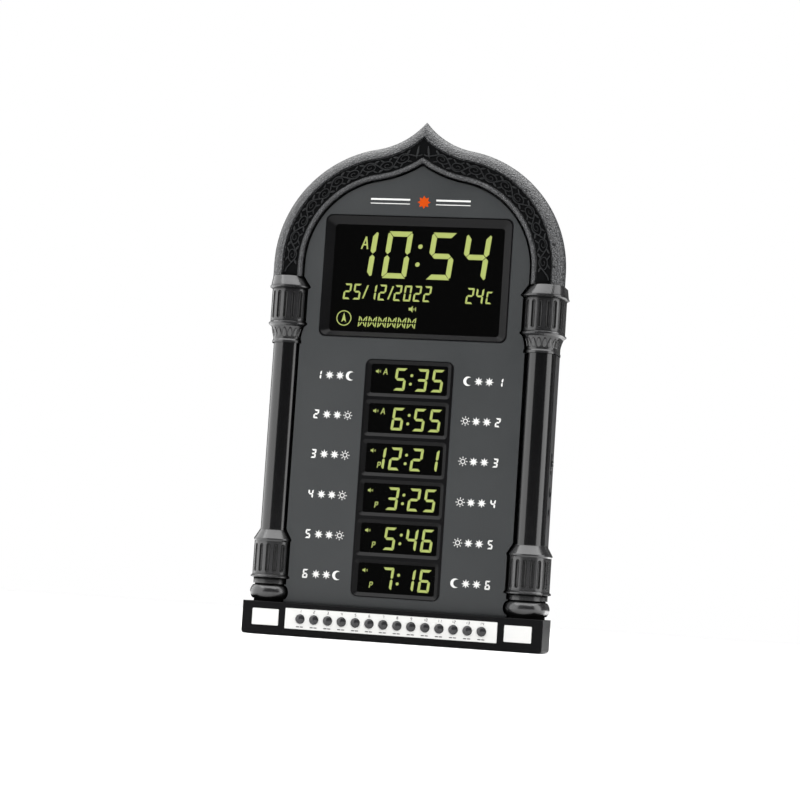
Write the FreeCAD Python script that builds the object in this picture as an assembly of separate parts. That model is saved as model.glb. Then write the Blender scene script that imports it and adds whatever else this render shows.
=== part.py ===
import FreeCAD, Part
import math
import os
from FreeCAD import Vector

# Prayer-times clock in the shape of an arched gateway, in millimetres, +Z up, front towards -Y.
# Every depth below is measured from the front of the face panel towards the back of the clock,
# and save() moves the finished pieces so that the origin is under the middle of the clock.

# Plinth
base_side = 1.5
base_height = 24.0
base_depth = 35.0
base_proud = 8.5
base_wall = 2.4
base_corner = 2.0
base_edge = 0.8
wiring_half_width = 60.0
wiring_depth = (12.0, 20.0)

# White strip, side plates and the pockets that hold them
strip_end_room = 33.1
strip_edge_room = 4.5
strip_thickness = 1.2
strip_proud = 0.3
strip_lift = 0.7
plate_width = 20.0
plate_edge_room = 6.0
plate_corner = 0.6
plate_end_room = 17.9

# Push buttons and their switches
button_count = 14
button_pitch = 10.46
button_radius = 3.25
button_proud = 1.6
button_dome = 0.9
button_travel = 0.8
button_flange_radius = 4.3
button_flange = 0.9
button_stem_radius = 1.6
button_stem_gap = 0.2
button_gap = 0.3
switch_size = 6.0
switch_height = 3.5
switch_bore_radius = 2.0
switch_bore_depth = 2.8

# Case, its wall and the ledge inside it
case_inset = 3.5
case_wall = 2.4
cutter_reach = 2.4
ledge_front = 9.0
ledge_thickness = 2.0
ledge_foot = 2.6
cover_thickness = 2.5
cover_lip_wall = 1.6
cover_lip_reach = 2.5
fit_gap = 0.2

# Pointed arch: upright sides, a round shoulder and a reversed curve up to the tip
arch_half_width = 111.0
arch_radius = 90.2
arch_spring_z = 278.0
arch_rise = 110.0
arch_tip_radius = 61.1
arch_foot_z = 268.0
reverse_turn = 60.0

# Section of the arch moulding, from its outer edge inwards
band_width = 8.2
band_front = -3.0
band_side = 6.0
carving_draft = 0.6
carving_width = 11.8
carving_depth = 1.6
bead_width = 3.4
bead_height = 1.6
moulding_wall = 2.2

# Face panel
panel_thickness = 2.2
panel_gap = 1.6
panel_fit = 0.3
panel_skirt = 2.0

# Columns, capitals and pedestals
column_inset = 14.6
column_y = 6.8
shaft_radius = 10.65
flute_radius = 14.4
flute_count = 16
flute_cutter_radius = 1.75
flute_depth = 1.0
flute_margin = 1.8
cone_top_inset = 12.6
cone_top_radius = 12.6
capital_lip_radius = 16.2
capital_low_lip_radius = 15.5
bell_top_radius = 13.4
bell_low_radius = 11.3
bell_hollow = 0.5
shaft_low_z = 77.6
shaft_top_z = 217.6
collar_radius = 11.9
collar_height = 1.6
foot_cone_radius = 11.2
foot_lip_radius = 15.0
foot_low_lip_radius = 15.5
foot_ring_radius = 13.2
foot_groove_radius = 12.0
foot_roll_radius = 15.2
foot_roll_edge_radius = 12.9
lip_height = 1.0
lip_slope = 1.0

# Heights in a capital and in a pedestal, as shares of its whole height
bell_low_share = 0.0556
bell_top_share = 0.246
capital_flute_low_share = 0.3175
capital_flute_top_share = 0.8095
foot_roll_low_share = 0.0373
foot_roll_top_share = 0.2276
foot_ring_low_share = 0.2463
foot_ring_top_share = 0.3209
foot_flute_low_share = 0.3694
foot_flute_top_share = 0.8321
foot_cone_share = 0.9888

# Main display
screen_side_room = 22.4
screen_height = 80.8
screen_middle_z = 268.9
screen_corner = 2.4
screen_bevel_side = 6.6
screen_bevel_top = 6.7
screen_bevel_low = 4.5
screen_depth = 3.8
bezel_proud = 0.3
bezel_rim = 0.8
bezel_corner = 5.0
bezel_flange = 1.2
lens_thickness = 1.5
lens_overlap = 2.0
lcd_thickness = 2.2
light_thickness = 3.5
connector_height = 2.0
connector_inset = 6.0

# Six small displays
window_count = 6
window_width = 58.0
window_height = 21.8
window_pitch = 29.54
window_low_z = 46.3
window_corner = 1.4
window_depth = 1.6
window_bevel = 2.6
times_border_side = 4.35
times_border_end = 3.2
times_skirt_wall = 2.0
times_light_thickness = 3.0
times_lens_thickness = 1.2
times_bezel_back = 3.4
window_overlap = 1.1

# Circuit boards and their screw posts
board_thickness = 1.6
board_margin = 0.4
main_board_low_z = 215.0
main_board_top_z = 326.0
main_post_inset = 17.0
main_post_margin = 4.0
times_board_width = 88.0
times_board_low_z = 31.0
times_board_top_z = 210.0
times_post_x = 39.0
times_post_margin = 9.0
button_board_width = 162.0
button_board_room = 5.2
button_post_x = 76.5
chip_size = 14.0
chip_height = 1.6
chip_x = -22.0
chip_rise = 53.0
small_chip_x = 18.0
small_chip_rise = 67.0
capacitor_radius = 3.0
capacitor_height = 7.0
capacitor_x = 38.0
capacitor_pitch = 9.0
capacitor_rise = 25.0
crystal_width = 8.0
crystal_height = 3.4
crystal_corner = 1.5
crystal_x = 8.0
crystal_rise = 37.0
post_radius = 3.0
post_hole_radius = 1.2
board_screw_radius = 1.1
board_screw_length = 4.6
board_screw_head_radius = 2.3
board_screw_head = 1.3

# Screws of the rear cover
cover_post_inset = 12.5
cover_post_radius = 3.4
cover_post_z_low = 62.0
cover_post_z_high = 196.0
cover_post_angles = (22.0, 62.0)
base_post_inset = 8.5
cover_screw_radius = 1.2
cover_screw_length = 10.0
cover_screw_head_radius = 2.8
cover_screw_head = 1.5
cover_screw_gap = 0.3

# Loudspeaker behind the rear cover
speaker_x = -60.0
speaker_z = 120.0
speaker_radius = 25.0
speaker_rim = 2.0
speaker_cone_radius = 21.0
speaker_depth = 7.0
speaker_wall = 1.0
cone_skin = 0.8
cone_roll_drop = 1.0
cone_throat_drop = 5.6
cone_throat_radius = 5.75
cone_cap_radius = 3.45
cone_cap_rise = 0.56
cone_surround = 2.8
magnet_radius = 11.5
magnet_height = 5.0
grille_slot = 2.2
grille_pitch = 5.2
grille_corner = 1.08

# Hanging holes
keyhole_x = 50.0
keyhole_z = 332.0
keyhole_head_radius = 4.6
keyhole_slot_radius = 2.3
keyhole_rise = 8.0

# Battery bay
cell_radius = 5.25
cell_length = 44.5
cell_count = 3
cell_nub_radius = 1.9
cell_nub = 1.0
cell_gap = 0.4
bay_x = 62.0
bay_z = 120.0
bay_wall = 1.2
bay_end_room = 1.6
bay_rebate = 0.6
contact_width = 7.0
contact_thickness = 0.5
door_thickness = 2.2
door_gap = 0.3
door_pull_radius = 9.0
door_pull_depth = 1.0

# Controls in the right side wall
wheel_z = 138.0
wheel_radius = 9.0
wheel_thickness = 4.0
wheel_proud = 1.5
wheel_notches = 20
wheel_notch_radius = 0.7
wheel_shaft_radius = 2.0
wheel_slot_gap = 0.5
pot_radius = 4.8
pot_height = 3.2
pot_gap = 0.4
running_gap = 0.05
slider_z = 117.0
slider_width = 3.0
slider_height = 3.6
slider_proud = 1.3
slider_travel = 3.0
slider_gap = 0.3
slider_body_width = 6.0
slider_body_height = 12.0
slider_body_depth = 4.5
slider_root = 2.5
jack_z = 102.0
jack_hole_radius = 2.8
jack_collar_radius = 4.0
jack_pin_radius = 1.05
jack_pin_short = 1.5
jack_depth = 9.0
jack_body_size = 9.0
jack_body_depth = 11.0

# Places across and up that follow from the sizes above
base_width = 2 * (arch_half_width + base_side)
base_post_x = base_width / 2 - base_post_inset
strip_height = base_height - 2 * strip_edge_room
strip_middle_z = base_height / 2 + strip_lift
plate_height = base_height - 2 * plate_edge_room
button_board_height = base_height - 2 * button_board_room
strip_width = base_width - 2 * strip_end_room
plate_middle_x = base_width / 2 - plate_end_room
column_x = arch_half_width - column_inset
cone_top_x = arch_half_width - cone_top_inset
arch_tip_z = arch_spring_z + arch_rise
capital_height = arch_foot_z - shaft_top_z
bell_low_z = shaft_top_z + bell_low_share * capital_height
bell_top_z = shaft_top_z + bell_top_share * capital_height
capital_flute_low_z = shaft_top_z + capital_flute_low_share * capital_height
capital_flute_top_z = shaft_top_z + capital_flute_top_share * capital_height
pedestal_height = shaft_low_z - base_height
foot_roll_low_z = base_height + foot_roll_low_share * pedestal_height
foot_roll_top_z = base_height + foot_roll_top_share * pedestal_height
foot_ring_low_z = base_height + foot_ring_low_share * pedestal_height
foot_ring_top_z = base_height + foot_ring_top_share * pedestal_height
foot_flute_low_z = base_height + foot_flute_low_share * pedestal_height
foot_flute_top_z = base_height + foot_flute_top_share * pedestal_height
foot_cone_z = base_height + foot_cone_share * pedestal_height
moulding_width = band_width + carving_draft + carving_width + bead_width
screen_width = 2 * (arch_half_width - moulding_width - screen_side_room)
main_board_width = screen_width + 2 * (lens_overlap + board_margin)
main_post_x = main_board_width / 2 - main_post_inset

# Depths that follow from the sizes above
base_front = -base_proud
base_back = base_depth - base_proud
cover_front = base_back - cover_thickness
ledge_back = ledge_front + ledge_thickness
strip_front = base_front - strip_proud
strip_back = strip_front + strip_thickness
base_inside = base_front + base_wall
button_front = strip_front - button_proud
flange_front = base_inside + button_gap
flange_back = flange_front + button_flange
switch_front = flange_back + button_travel + button_gap
stem_end = switch_front + switch_bore_depth - button_travel - button_stem_gap
button_board_front = switch_front + switch_height
screen_lens_back = screen_depth + lens_thickness
screen_lcd_back = screen_lens_back + lcd_thickness
main_board_front = screen_lcd_back + light_thickness
times_lens_back = window_depth + times_lens_thickness
times_lcd_back = times_lens_back + lcd_thickness
times_board_front = times_lcd_back + times_light_thickness
control_y = ledge_back + pot_height + pot_gap + wheel_thickness / 2
wall_outside_x = arch_half_width - case_inset
wall_inside_x = wall_outside_x - case_wall
panel_inset = moulding_width + panel_gap
ledge_inset = panel_inset + panel_skirt + fit_gap
origin_y = (button_front + base_back) / 2
bezel_width = screen_width + 2 * screen_bevel_side
bezel_height = screen_height + screen_bevel_top + screen_bevel_low
bezel_middle_z = screen_middle_z + (screen_bevel_top - screen_bevel_low) / 2
times_width = window_width + 2 * times_border_side
times_height = (window_count - 1) * window_pitch + window_height + 2 * times_border_end
times_middle_z = window_low_z + (window_count - 1) * window_pitch / 2
door_front = base_back - door_thickness
cell_y = door_front - door_gap - cell_radius
cell_pitch = 2 * cell_radius + cell_gap
bay_floor = cell_y - cell_radius - cell_gap
bay_width = cell_count * cell_pitch + cell_gap
bay_height = cell_length + cell_nub + 2 * bay_end_room
bay_opening_width = bay_width + 2 * bay_rebate
bay_opening_height = bay_height + 2 * bay_rebate
wheel_x = wall_outside_x + wheel_proud - wheel_radius
wheel_slot_half = math.sqrt(wheel_radius ** 2 - (wall_inside_x - wheel_x) ** 2) + wheel_slot_gap

# Centre of the round shoulder, and of the reversed curve that touches it and ends at the tip
shoulder_x = arch_half_width - arch_radius
tip_lean_x = -shoulder_x
tip_lean_z = arch_tip_z - arch_spring_z
tip_lean = math.hypot(tip_lean_x, tip_lean_z)
centres_apart = arch_radius + arch_tip_radius
along = (centres_apart ** 2 - arch_tip_radius ** 2 + tip_lean ** 2) / (2 * tip_lean)
across = math.sqrt(centres_apart ** 2 - along ** 2)
reverse_x = shoulder_x + (along * tip_lean_x + across * tip_lean_z) / tip_lean
reverse_z = arch_spring_z + (along * tip_lean_z - across * tip_lean_x) / tip_lean
touch_angle = math.atan2(reverse_z - arch_spring_z, reverse_x - shoulder_x)

BACK = Vector(0, 1, 0)
UP = Vector(0, 0, 1)
RIGHT = Vector(1, 0, 0)
ORIGIN = Vector(0, 0, 0)


def box(x, y, z):
    """A block between the low and high values of each pair."""
    return Part.makeBox(x[1] - x[0], y[1] - y[0], z[1] - z[0], Vector(x[0], y[0], z[0]))


def rod(radius, y, x, z):
    """A round bar along the depth of the clock."""
    return Part.makeCylinder(radius, y[1] - y[0], Vector(x, y[0], z), BACK)


def join(shapes):
    """Fuses shapes into one solid and merges faces that lie in one surface."""
    return shapes[0].multiFuse(shapes[1:]).removeSplitter()


def mirrored(shape):
    return shape.mirror(ORIGIN, RIGHT)


def outline(start, steps, place):
    """A closed wire. A step is a point to draw a line to, or a middle and an end point for an arc."""
    edges = []
    here = start
    for step in steps:
        if isinstance(step[0], tuple):
            middle, there = step
            edges.append(Part.Arc(place(*here), place(*middle), place(*there)).toShape())
        else:
            there = step
            edges.append(Part.LineSegment(place(*here), place(*there)).toShape())
        here = there
    if here != start:
        edges.append(Part.LineSegment(place(*here), place(*start)).toShape())
    return Part.Wire(edges)


def rounded_wire(width, height, corner, y, x, z):
    """A rectangle with round corners, facing the front."""
    w = width / 2
    h = height / 2
    flat_w = w - corner
    flat_h = h - corner
    bend_w = flat_w + corner * math.sqrt(0.5)
    bend_h = flat_h + corner * math.sqrt(0.5)
    start = (-flat_w, -h)
    steps = [
        (flat_w, -h),
        ((bend_w, -bend_h), (w, -flat_h)),
        (w, flat_h),
        ((bend_w, bend_h), (flat_w, h)),
        (-flat_w, h),
        ((-bend_w, bend_h), (-w, flat_h)),
        (-w, -flat_h),
        ((-bend_w, -bend_h), start),
    ]
    return outline(start, steps, lambda u, v: Vector(x + u, y, z + v))


def rounded_plate(width, height, corner, y, x, z):
    face = Part.Face(rounded_wire(width, height, corner, y[0], x, z))
    return face.extrude(Vector(0, y[1] - y[0], 0))


def on_shoulder(radius, angle):
    """A point on a circle round the centre of the right shoulder of the arch."""
    return (shoulder_x + radius * math.cos(angle), arch_spring_z + radius * math.sin(angle))


def on_reverse(radius, angle):
    """A point on a circle round the centre of the right reversed curve of the arch."""
    return (reverse_x + radius * math.cos(angle), reverse_z + radius * math.sin(angle))


def arch_plate(inset, low_z, y):
    """A plate with the outline of the arch, drawn in from its outer edge by the inset."""
    half = arch_half_width - inset
    shoulder_radius = arch_radius - inset
    reverse_radius = arch_tip_radius + inset
    tip_drop = math.sqrt(reverse_radius ** 2 - reverse_x ** 2)
    tip = (0.0, reverse_z - tip_drop)
    tip_angle = math.pi + math.atan2(tip_drop, reverse_x)
    touch = on_shoulder(shoulder_radius, touch_angle)
    shoulder = on_shoulder(shoulder_radius, touch_angle / 2)
    hollow = on_reverse(reverse_radius, (touch_angle + math.pi + tip_angle) / 2)

    def left(point):
        return (-point[0], point[1])

    steps = [
        (half, arch_spring_z),
        (shoulder, touch),
        (hollow, tip),
        (left(hollow), left(touch)),
        (left(shoulder), (-half, arch_spring_z)),
        (-half, low_z),
    ]
    wire = outline((half, low_z), steps, lambda x, z: Vector(x, y[0], z))
    return Part.Face(wire).extrude(Vector(0, y[1] - y[0], 0))


def arch_moulding():
    """The arch over the panel: pebbled quarter round, sunk carved band and inner bead."""
    floor = band_front + carving_depth
    depth = band_side - band_front
    round_radius = (band_width ** 2 + depth ** 2) / (2 * band_width)
    half_turn = math.asin(depth / round_radius) / 2
    round_x = round_radius * (1 - math.cos(half_turn))
    round_middle = (round_x, band_side - round_radius * math.sin(half_turn))
    carving_start = band_width + carving_draft
    bead_start = carving_start + carving_width
    seat = case_inset + case_wall
    back_wall = moulding_width - moulding_wall
    steps = [
        (0.0, band_side),
        (round_middle, (band_width, band_front)),
        (carving_start, floor),
        (bead_start, floor),
        ((bead_start + bead_width / 2, floor - bead_height), (moulding_width, floor)),
        (moulding_width, ledge_front),
        (back_wall, ledge_front),
        (back_wall, floor + moulding_wall),
        (band_width + moulding_wall, floor + moulding_wall),
        (seat, band_side - moulding_wall),
        (seat, ledge_front),
    ]
    start = (0.0, ledge_front)
    wire = outline(start, steps, lambda t, y: Vector(arch_half_width - t, y, arch_spring_z))
    section = Part.Face(wire)
    upright = section.extrude(Vector(0, 0, arch_foot_z - arch_spring_z))
    shoulder_centre = Vector(shoulder_x, 0, arch_spring_z)
    turn = math.degrees(touch_angle)
    shoulder = section.revolve(shoulder_centre, -BACK, turn)
    turned_section = section.copy()
    turned_section.rotate(shoulder_centre, -BACK, turn)
    reverse = turned_section.revolve(Vector(reverse_x, 0, reverse_z), BACK, reverse_turn)
    reach = arch_half_width + moulding_width
    depths = (band_front - depth, ledge_front + depth)
    right_half = box((0, reach), depths, (arch_foot_z, arch_tip_z + reach))
    half = join([upright, shoulder, reverse]).common(right_half)
    return [join([half, mirrored(half)])]


def d_wire(x, radius, z):
    """A half round at the front with straight sides back to the ledge."""
    start = (x + radius, column_y)
    steps = [
        ((x, column_y - radius), (x - radius, column_y)),
        (x - radius, ledge_front),
        (x + radius, ledge_front),
    ]
    return outline(start, steps, lambda u, v: Vector(u, v, z))


def turned_front(start, steps):
    """Turns a half profile round the front of a column and runs it straight back to the ledge."""
    face = Part.Face(outline(start, steps, lambda r, z: Vector(column_x + r, column_y, z)))
    axis = Vector(column_x, column_y, 0)
    front = face.revolve(axis, -UP, 180)
    straight = face.extrude(Vector(0, ledge_front - column_y, 0))
    return [front, straight, straight.mirror(axis, RIGHT)]


def side_return(start, steps):
    """Carries a profile along the outside of the case wall to the rear cover."""
    face = Part.Face(outline(start, steps, lambda r, z: Vector(column_x + r, ledge_front, z)))
    run = face.extrude(Vector(0, cover_front - ledge_front, 0))
    heights = (base_height, arch_tip_z)
    outside = box((wall_outside_x, base_width), (ledge_front, cover_front), heights)
    return run.common(outside)


def fluted(body, low_z, top_z):
    """Cuts the round-ended grooves round the front of a capital or pedestal."""
    radius = flute_radius + flute_cutter_radius - flute_depth
    low = low_z + flute_margin + flute_cutter_radius
    top = top_z - flute_margin - flute_cutter_radius
    cutters = []
    for index in range(flute_count // 2 + 1):
        angle = math.tau * index / flute_count
        x = column_x + radius * math.cos(angle)
        y = column_y - radius * math.sin(angle)
        cutters.append(Part.makeCylinder(flute_cutter_radius, top - low, Vector(x, y, low)))
        cutters.append(Part.makeSphere(flute_cutter_radius, Vector(x, y, low)))
        cutters.append(Part.makeSphere(flute_cutter_radius, Vector(x, y, top)))
    return body.cut(cutters)


def capital_profile(grow=0.0):
    """Half outline of a capital from its collar up to the lip, as radius and height."""
    collar_z = shaft_top_z
    bell_middle_radius = (bell_low_radius + bell_top_radius) / 2 - bell_hollow + grow
    steps = [
        (collar_radius + grow, collar_z - grow),
        (collar_radius + grow, collar_z + collar_height),
        (bell_low_radius + grow, bell_low_z),
        ((bell_middle_radius, (bell_low_z + bell_top_z) / 2), (bell_top_radius + grow, bell_top_z)),
        (capital_low_lip_radius + grow, capital_flute_low_z - lip_slope - lip_height),
        (capital_low_lip_radius + grow, capital_flute_low_z - lip_slope),
        (flute_radius + grow, capital_flute_low_z),
        (flute_radius + grow, capital_flute_top_z),
        (capital_lip_radius + grow, capital_flute_top_z + lip_slope),
        (capital_lip_radius + grow, capital_flute_top_z + lip_slope + lip_height),
        (0.0, capital_flute_top_z + lip_slope + lip_height),
    ]
    return (0.0, collar_z - grow), steps


def pedestal_profile(grow=0.0):
    """Half outline of a pedestal from the plinth up to the shaft, as radius and height."""
    roll_middle_z = (foot_roll_low_z + foot_roll_top_z) / 2
    neck_z = foot_roll_low_z
    steps = [
        (foot_groove_radius + grow, base_height),
        (foot_groove_radius + grow, neck_z),
        (foot_roll_edge_radius + grow, neck_z),
        ((foot_roll_radius + grow, roll_middle_z), (foot_roll_edge_radius + grow, foot_roll_top_z)),
        (foot_groove_radius + grow, foot_roll_top_z),
        (foot_groove_radius + grow, foot_ring_low_z),
        (foot_ring_radius + grow, foot_ring_low_z),
        (foot_ring_radius + grow, foot_ring_top_z),
        (foot_low_lip_radius + grow, foot_flute_low_z - lip_slope - lip_height),
        (foot_low_lip_radius + grow, foot_flute_low_z - lip_slope),
        (flute_radius + grow, foot_flute_low_z),
        (flute_radius + grow, foot_flute_top_z),
        (foot_lip_radius + grow, foot_flute_top_z + lip_slope),
        (foot_lip_radius + grow, foot_flute_top_z + lip_slope + lip_height),
        (foot_cone_radius + grow, foot_cone_z),
        (foot_cone_radius + grow, shaft_low_z + grow),
        (0.0, shaft_low_z + grow),
    ]
    return (0.0, base_height), steps


def capital():
    """Right capital: collar, hollow bell, fluted drum, lip and the cone that meets the arch."""
    start, steps = capital_profile()
    drum = join(turned_front(start, steps))
    drum = fluted(drum, capital_flute_low_z, capital_flute_top_z)
    lip_top_z = capital_flute_top_z + lip_slope + lip_height
    cone_low = d_wire(column_x, capital_lip_radius - lip_slope / 2, lip_top_z)
    cone = Part.makeLoft([cone_low, d_wire(cone_top_x, cone_top_radius, arch_foot_z)], True, True)
    cone_side = side_return(
        (0.0, lip_top_z),
        [
            (capital_lip_radius - lip_slope / 2, lip_top_z),
            (cone_top_x + cone_top_radius - column_x, arch_foot_z),
            (0.0, arch_foot_z),
        ],
    )
    return join([drum, side_return(start, steps), cone, cone_side])


def pedestal():
    """Right pedestal: roll, ring, fluted drum, lip and the flare under the shaft."""
    start, steps = pedestal_profile()
    drum = join(turned_front(start, steps))
    drum = fluted(drum, foot_flute_low_z, foot_flute_top_z)
    return join([drum, side_return(start, steps)])


def shaft():
    face = Part.Face(d_wire(column_x, shaft_radius, shaft_low_z))
    return face.extrude(Vector(0, 0, shaft_top_z - shaft_low_z))


def post_places():
    """Where the rear cover's screws stand in the arch, on the right side."""
    upright_x = arch_half_width - cover_post_inset
    places = [(upright_x, cover_post_z_low), (upright_x, cover_post_z_high)]
    for angle in cover_post_angles:
        places.append(on_shoulder(arch_radius - cover_post_inset, math.radians(angle)))
    return places


def cover_screw_places():
    places = post_places() + [(base_post_x, base_height / 2)]
    return places + [(-x, z) for x, z in places]


def control_slot(x, half_width, z, half_height):
    width = (control_y - half_width, control_y + half_width)
    return box(x, width, (z - half_height, z + half_height))


def front_case():
    """The side wall of the clock with its inner ledge, screw posts and the control openings."""
    depth = (ledge_front, cover_front)
    wall = arch_plate(case_inset, base_height, depth)
    wall = wall.cut(arch_plate(case_inset + case_wall, base_height - case_wall, depth))
    ledge_depth = (ledge_front, ledge_back)
    ledge = arch_plate(case_inset, base_height, ledge_depth)
    ledge = ledge.cut(arch_plate(ledge_inset, base_height + ledge_foot, ledge_depth))
    posts = []
    holes = []
    for x, z in post_places():
        for side in (1, -1):
            posts.append(rod(cover_post_radius, depth, side * x, z))
            holes.append(rod(post_hole_radius + fit_gap, (ledge_back, cover_front), side * x, z))
    wall_x = (wall_inside_x - cutter_reach, wall_outside_x + cutter_reach)
    wheel_y = wheel_thickness / 2 + pot_gap
    slider_y = slider_width / 2 + slider_gap
    slider_half = (slider_height + slider_travel) / 2 + slider_gap
    jack_start = Vector(wall_x[0], control_y, jack_z)
    openings = [
        control_slot(wall_x, wheel_y, wheel_z, wheel_slot_half),
        control_slot(wall_x, slider_y, slider_z, slider_half),
        Part.makeCylinder(jack_collar_radius + fit_gap, wall_x[1] - wall_x[0], jack_start, RIGHT),
    ]
    return [join([wall, ledge] + posts).cut(holes + openings)]


def panel_notches():
    """Room for the capital, the shaft and the pedestal in the right edge of the panel."""
    depth = panel_thickness + ledge_front
    shapes = []
    for start, steps in (capital_profile(panel_fit), pedestal_profile(panel_fit)):
        wire = outline(start, steps, lambda r, z: Vector(column_x - r, -panel_thickness, z))
        face = Part.Face(wire)
        shapes.append(face.extrude(Vector(0, depth, 0)))
    edge = column_x - shaft_radius - panel_fit
    shapes.append(box((edge, base_width), (-panel_thickness, ledge_front), (shaft_low_z, shaft_top_z)))
    lip_z = capital_flute_top_z + lip_slope
    inner_x = column_x - capital_lip_radius - panel_fit
    top_x = cone_top_x - cone_top_radius - panel_fit
    corners = [
        (arch_half_width, lip_z),
        (arch_half_width, arch_foot_z + panel_fit),
        (top_x, arch_foot_z + panel_fit),
        (inner_x, lip_z + lip_height),
    ]
    cone = Part.Face(outline((inner_x, lip_z), corners, lambda x, z: Vector(x, -panel_thickness, z)))
    shapes.append(cone.extrude(Vector(0, depth, 0)))
    shapes.append(box((column_x, base_width), (-panel_thickness, ledge_front), (base_height, arch_foot_z)))
    return shapes


def main_post_places():
    return [
        (side * main_post_x, z)
        for side in (1, -1)
        for z in (main_board_low_z + main_post_margin, main_board_top_z - main_post_margin)
    ]


def times_post_places():
    return [
        (side * times_post_x, z)
        for side in (1, -1)
        for z in (times_board_low_z + times_post_margin, times_board_top_z - times_post_margin)
    ]


def screw_posts(places, front, back):
    posts = [rod(post_radius, (front, back), x, z) for x, z in places]
    holes = [rod(post_hole_radius, (front, back), x, z) for x, z in places]
    return posts, holes


def face_panel():
    """The flat face with its skirt, two display openings and the posts for both boards."""
    low_z = base_height + fit_gap
    plate = arch_plate(panel_inset, low_z, (0, panel_thickness))
    skirt_depth = (0, ledge_front)
    skirt = arch_plate(panel_inset, low_z, skirt_depth)
    skirt = skirt.cut(arch_plate(panel_inset + panel_skirt, low_z + panel_skirt, skirt_depth))
    main_posts, main_holes = screw_posts(main_post_places(), panel_thickness, main_board_front)
    times_posts, times_holes = screw_posts(times_post_places(), panel_thickness, times_board_front)
    panel = join([plate, skirt] + main_posts + times_posts)
    notches = panel_notches()
    through = (-panel_thickness, 2 * panel_thickness)
    grow = 2 * fit_gap
    openings = [
        rounded_plate(width + grow, height + grow, bezel_corner, through, 0, z)
        for width, height, z in (
            (bezel_width, bezel_height, bezel_middle_z),
            (times_width, times_height, times_middle_z),
        )
    ]
    cuts = notches + [mirrored(notch) for notch in notches]
    return [panel.cut(cuts + main_holes + times_holes + openings)]


def bevel(width, height, corner, y, x, z, spread):
    """A cutter that narrows from the front face down to a display opening."""
    side, top, low = spread
    front_width = width + 2 * side
    front_height = height + top + low
    front = rounded_wire(front_width, front_height, corner + side / 2, y[0], x, z + (top - low) / 2)
    back = rounded_wire(width, height, corner, y[1], x, z)
    return Part.makeLoft([front, back], True, True)


def main_bezel():
    """Bevelled frame round the main display, with a flange behind the panel."""
    depth = (-bezel_proud, screen_depth)
    frame = rounded_plate(bezel_width, bezel_height, bezel_corner, depth, 0, bezel_middle_z)
    flange = rounded_plate(
        bezel_width + 2 * bezel_flange,
        bezel_height + 2 * bezel_flange,
        bezel_corner + bezel_flange,
        (panel_thickness, screen_depth),
        0,
        bezel_middle_z,
    )
    spread = [side - bezel_rim for side in (screen_bevel_side, screen_bevel_top, screen_bevel_low)]
    slope = bevel(screen_width, screen_height, screen_corner, depth, 0, screen_middle_z, spread)
    return [join([frame, flange]).cut(slope)]


def window_places():
    return [window_low_z + index * window_pitch for index in range(window_count)]


def times_bezel():
    """One frame for the six small displays, each in its own bevelled window."""
    depth = (-bezel_proud, times_bezel_back)
    frame = rounded_plate(times_width, times_height, bezel_corner, depth, 0, times_middle_z)
    flange = rounded_plate(
        times_width + 2 * bezel_flange,
        times_height + 2 * bezel_flange,
        bezel_corner + bezel_flange,
        (panel_thickness, times_bezel_back),
        0,
        times_middle_z,
    )
    pocket_width = times_width - 2 * times_skirt_wall
    pocket_height = times_height - 2 * times_skirt_wall
    pocket = box(
        (-pocket_width / 2, pocket_width / 2),
        (window_depth, times_bezel_back),
        (times_middle_z - pocket_height / 2, times_middle_z + pocket_height / 2),
    )
    cuts = [pocket]
    spread = (window_bevel, window_bevel, window_bevel)
    for z in window_places():
        slope_depth = (-bezel_proud, window_depth)
        cuts.append(bevel(window_width, window_height, window_corner, slope_depth, 0, z, spread))
    return [join([frame, flange]).cut(cuts)]


def main_display():
    """Front lens, liquid crystal cell, back light and edge connector of the main display."""
    width = screen_width + 2 * lens_overlap
    height = screen_height + 2 * lens_overlap
    low_z = screen_middle_z - height / 2
    half = width / 2
    light_low_z = low_z + connector_height + fit_gap
    lens_depth = (screen_depth, screen_lens_back)
    lens = rounded_plate(width, height, screen_corner, lens_depth, 0, screen_middle_z)
    cell = box((-half, half), (screen_lens_back, screen_lcd_back), (low_z, low_z + height))
    light = box((-half, half), (screen_lcd_back, main_board_front), (light_low_z, low_z + height))
    inset = half - connector_inset
    strip = box((-inset, inset), (screen_lcd_back, main_board_front), (low_z, low_z + connector_height))
    return lens, cell, light, strip


def times_displays():
    """The same layers for the six small displays behind one long lens."""
    lens_width = times_width - 2 * times_skirt_wall - 2 * fit_gap
    lens_height = times_height - 2 * times_skirt_wall - 2 * fit_gap
    lens_depth = (window_depth, times_lens_back)
    lens = rounded_plate(lens_width, lens_height, window_corner, lens_depth, 0, times_middle_z)
    half = window_width / 2 + window_overlap
    half_height = window_height / 2 + window_overlap
    inset = half - connector_inset
    light_depth = (times_lcd_back, times_board_front)
    cells = []
    lights = []
    strips = []
    for z in window_places():
        low_z = z - half_height
        light_low_z = low_z + connector_height + fit_gap
        cells.append(box((-half, half), (times_lens_back, times_lcd_back), (low_z, z + half_height)))
        lights.append(box((-half, half), light_depth, (light_low_z, z + half_height)))
        strips.append(box((-inset, inset), light_depth, (low_z, low_z + connector_height)))
    return lens, cells, lights, strips


def board(x_half, front, z, places):
    depth = (front, front + board_thickness)
    plate = box((-x_half, x_half), depth, z)
    holes = [rod(board_screw_radius + fit_gap, depth, x, place_z) for x, place_z in places]
    return [plate.cut(holes)]


def screw(head_y, x, z, radius, length, head_radius, head):
    shank = rod(radius, (head_y - length, head_y), x, z)
    return join([shank, rod(head_radius, (head_y, head_y + head), x, z)])


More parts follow.
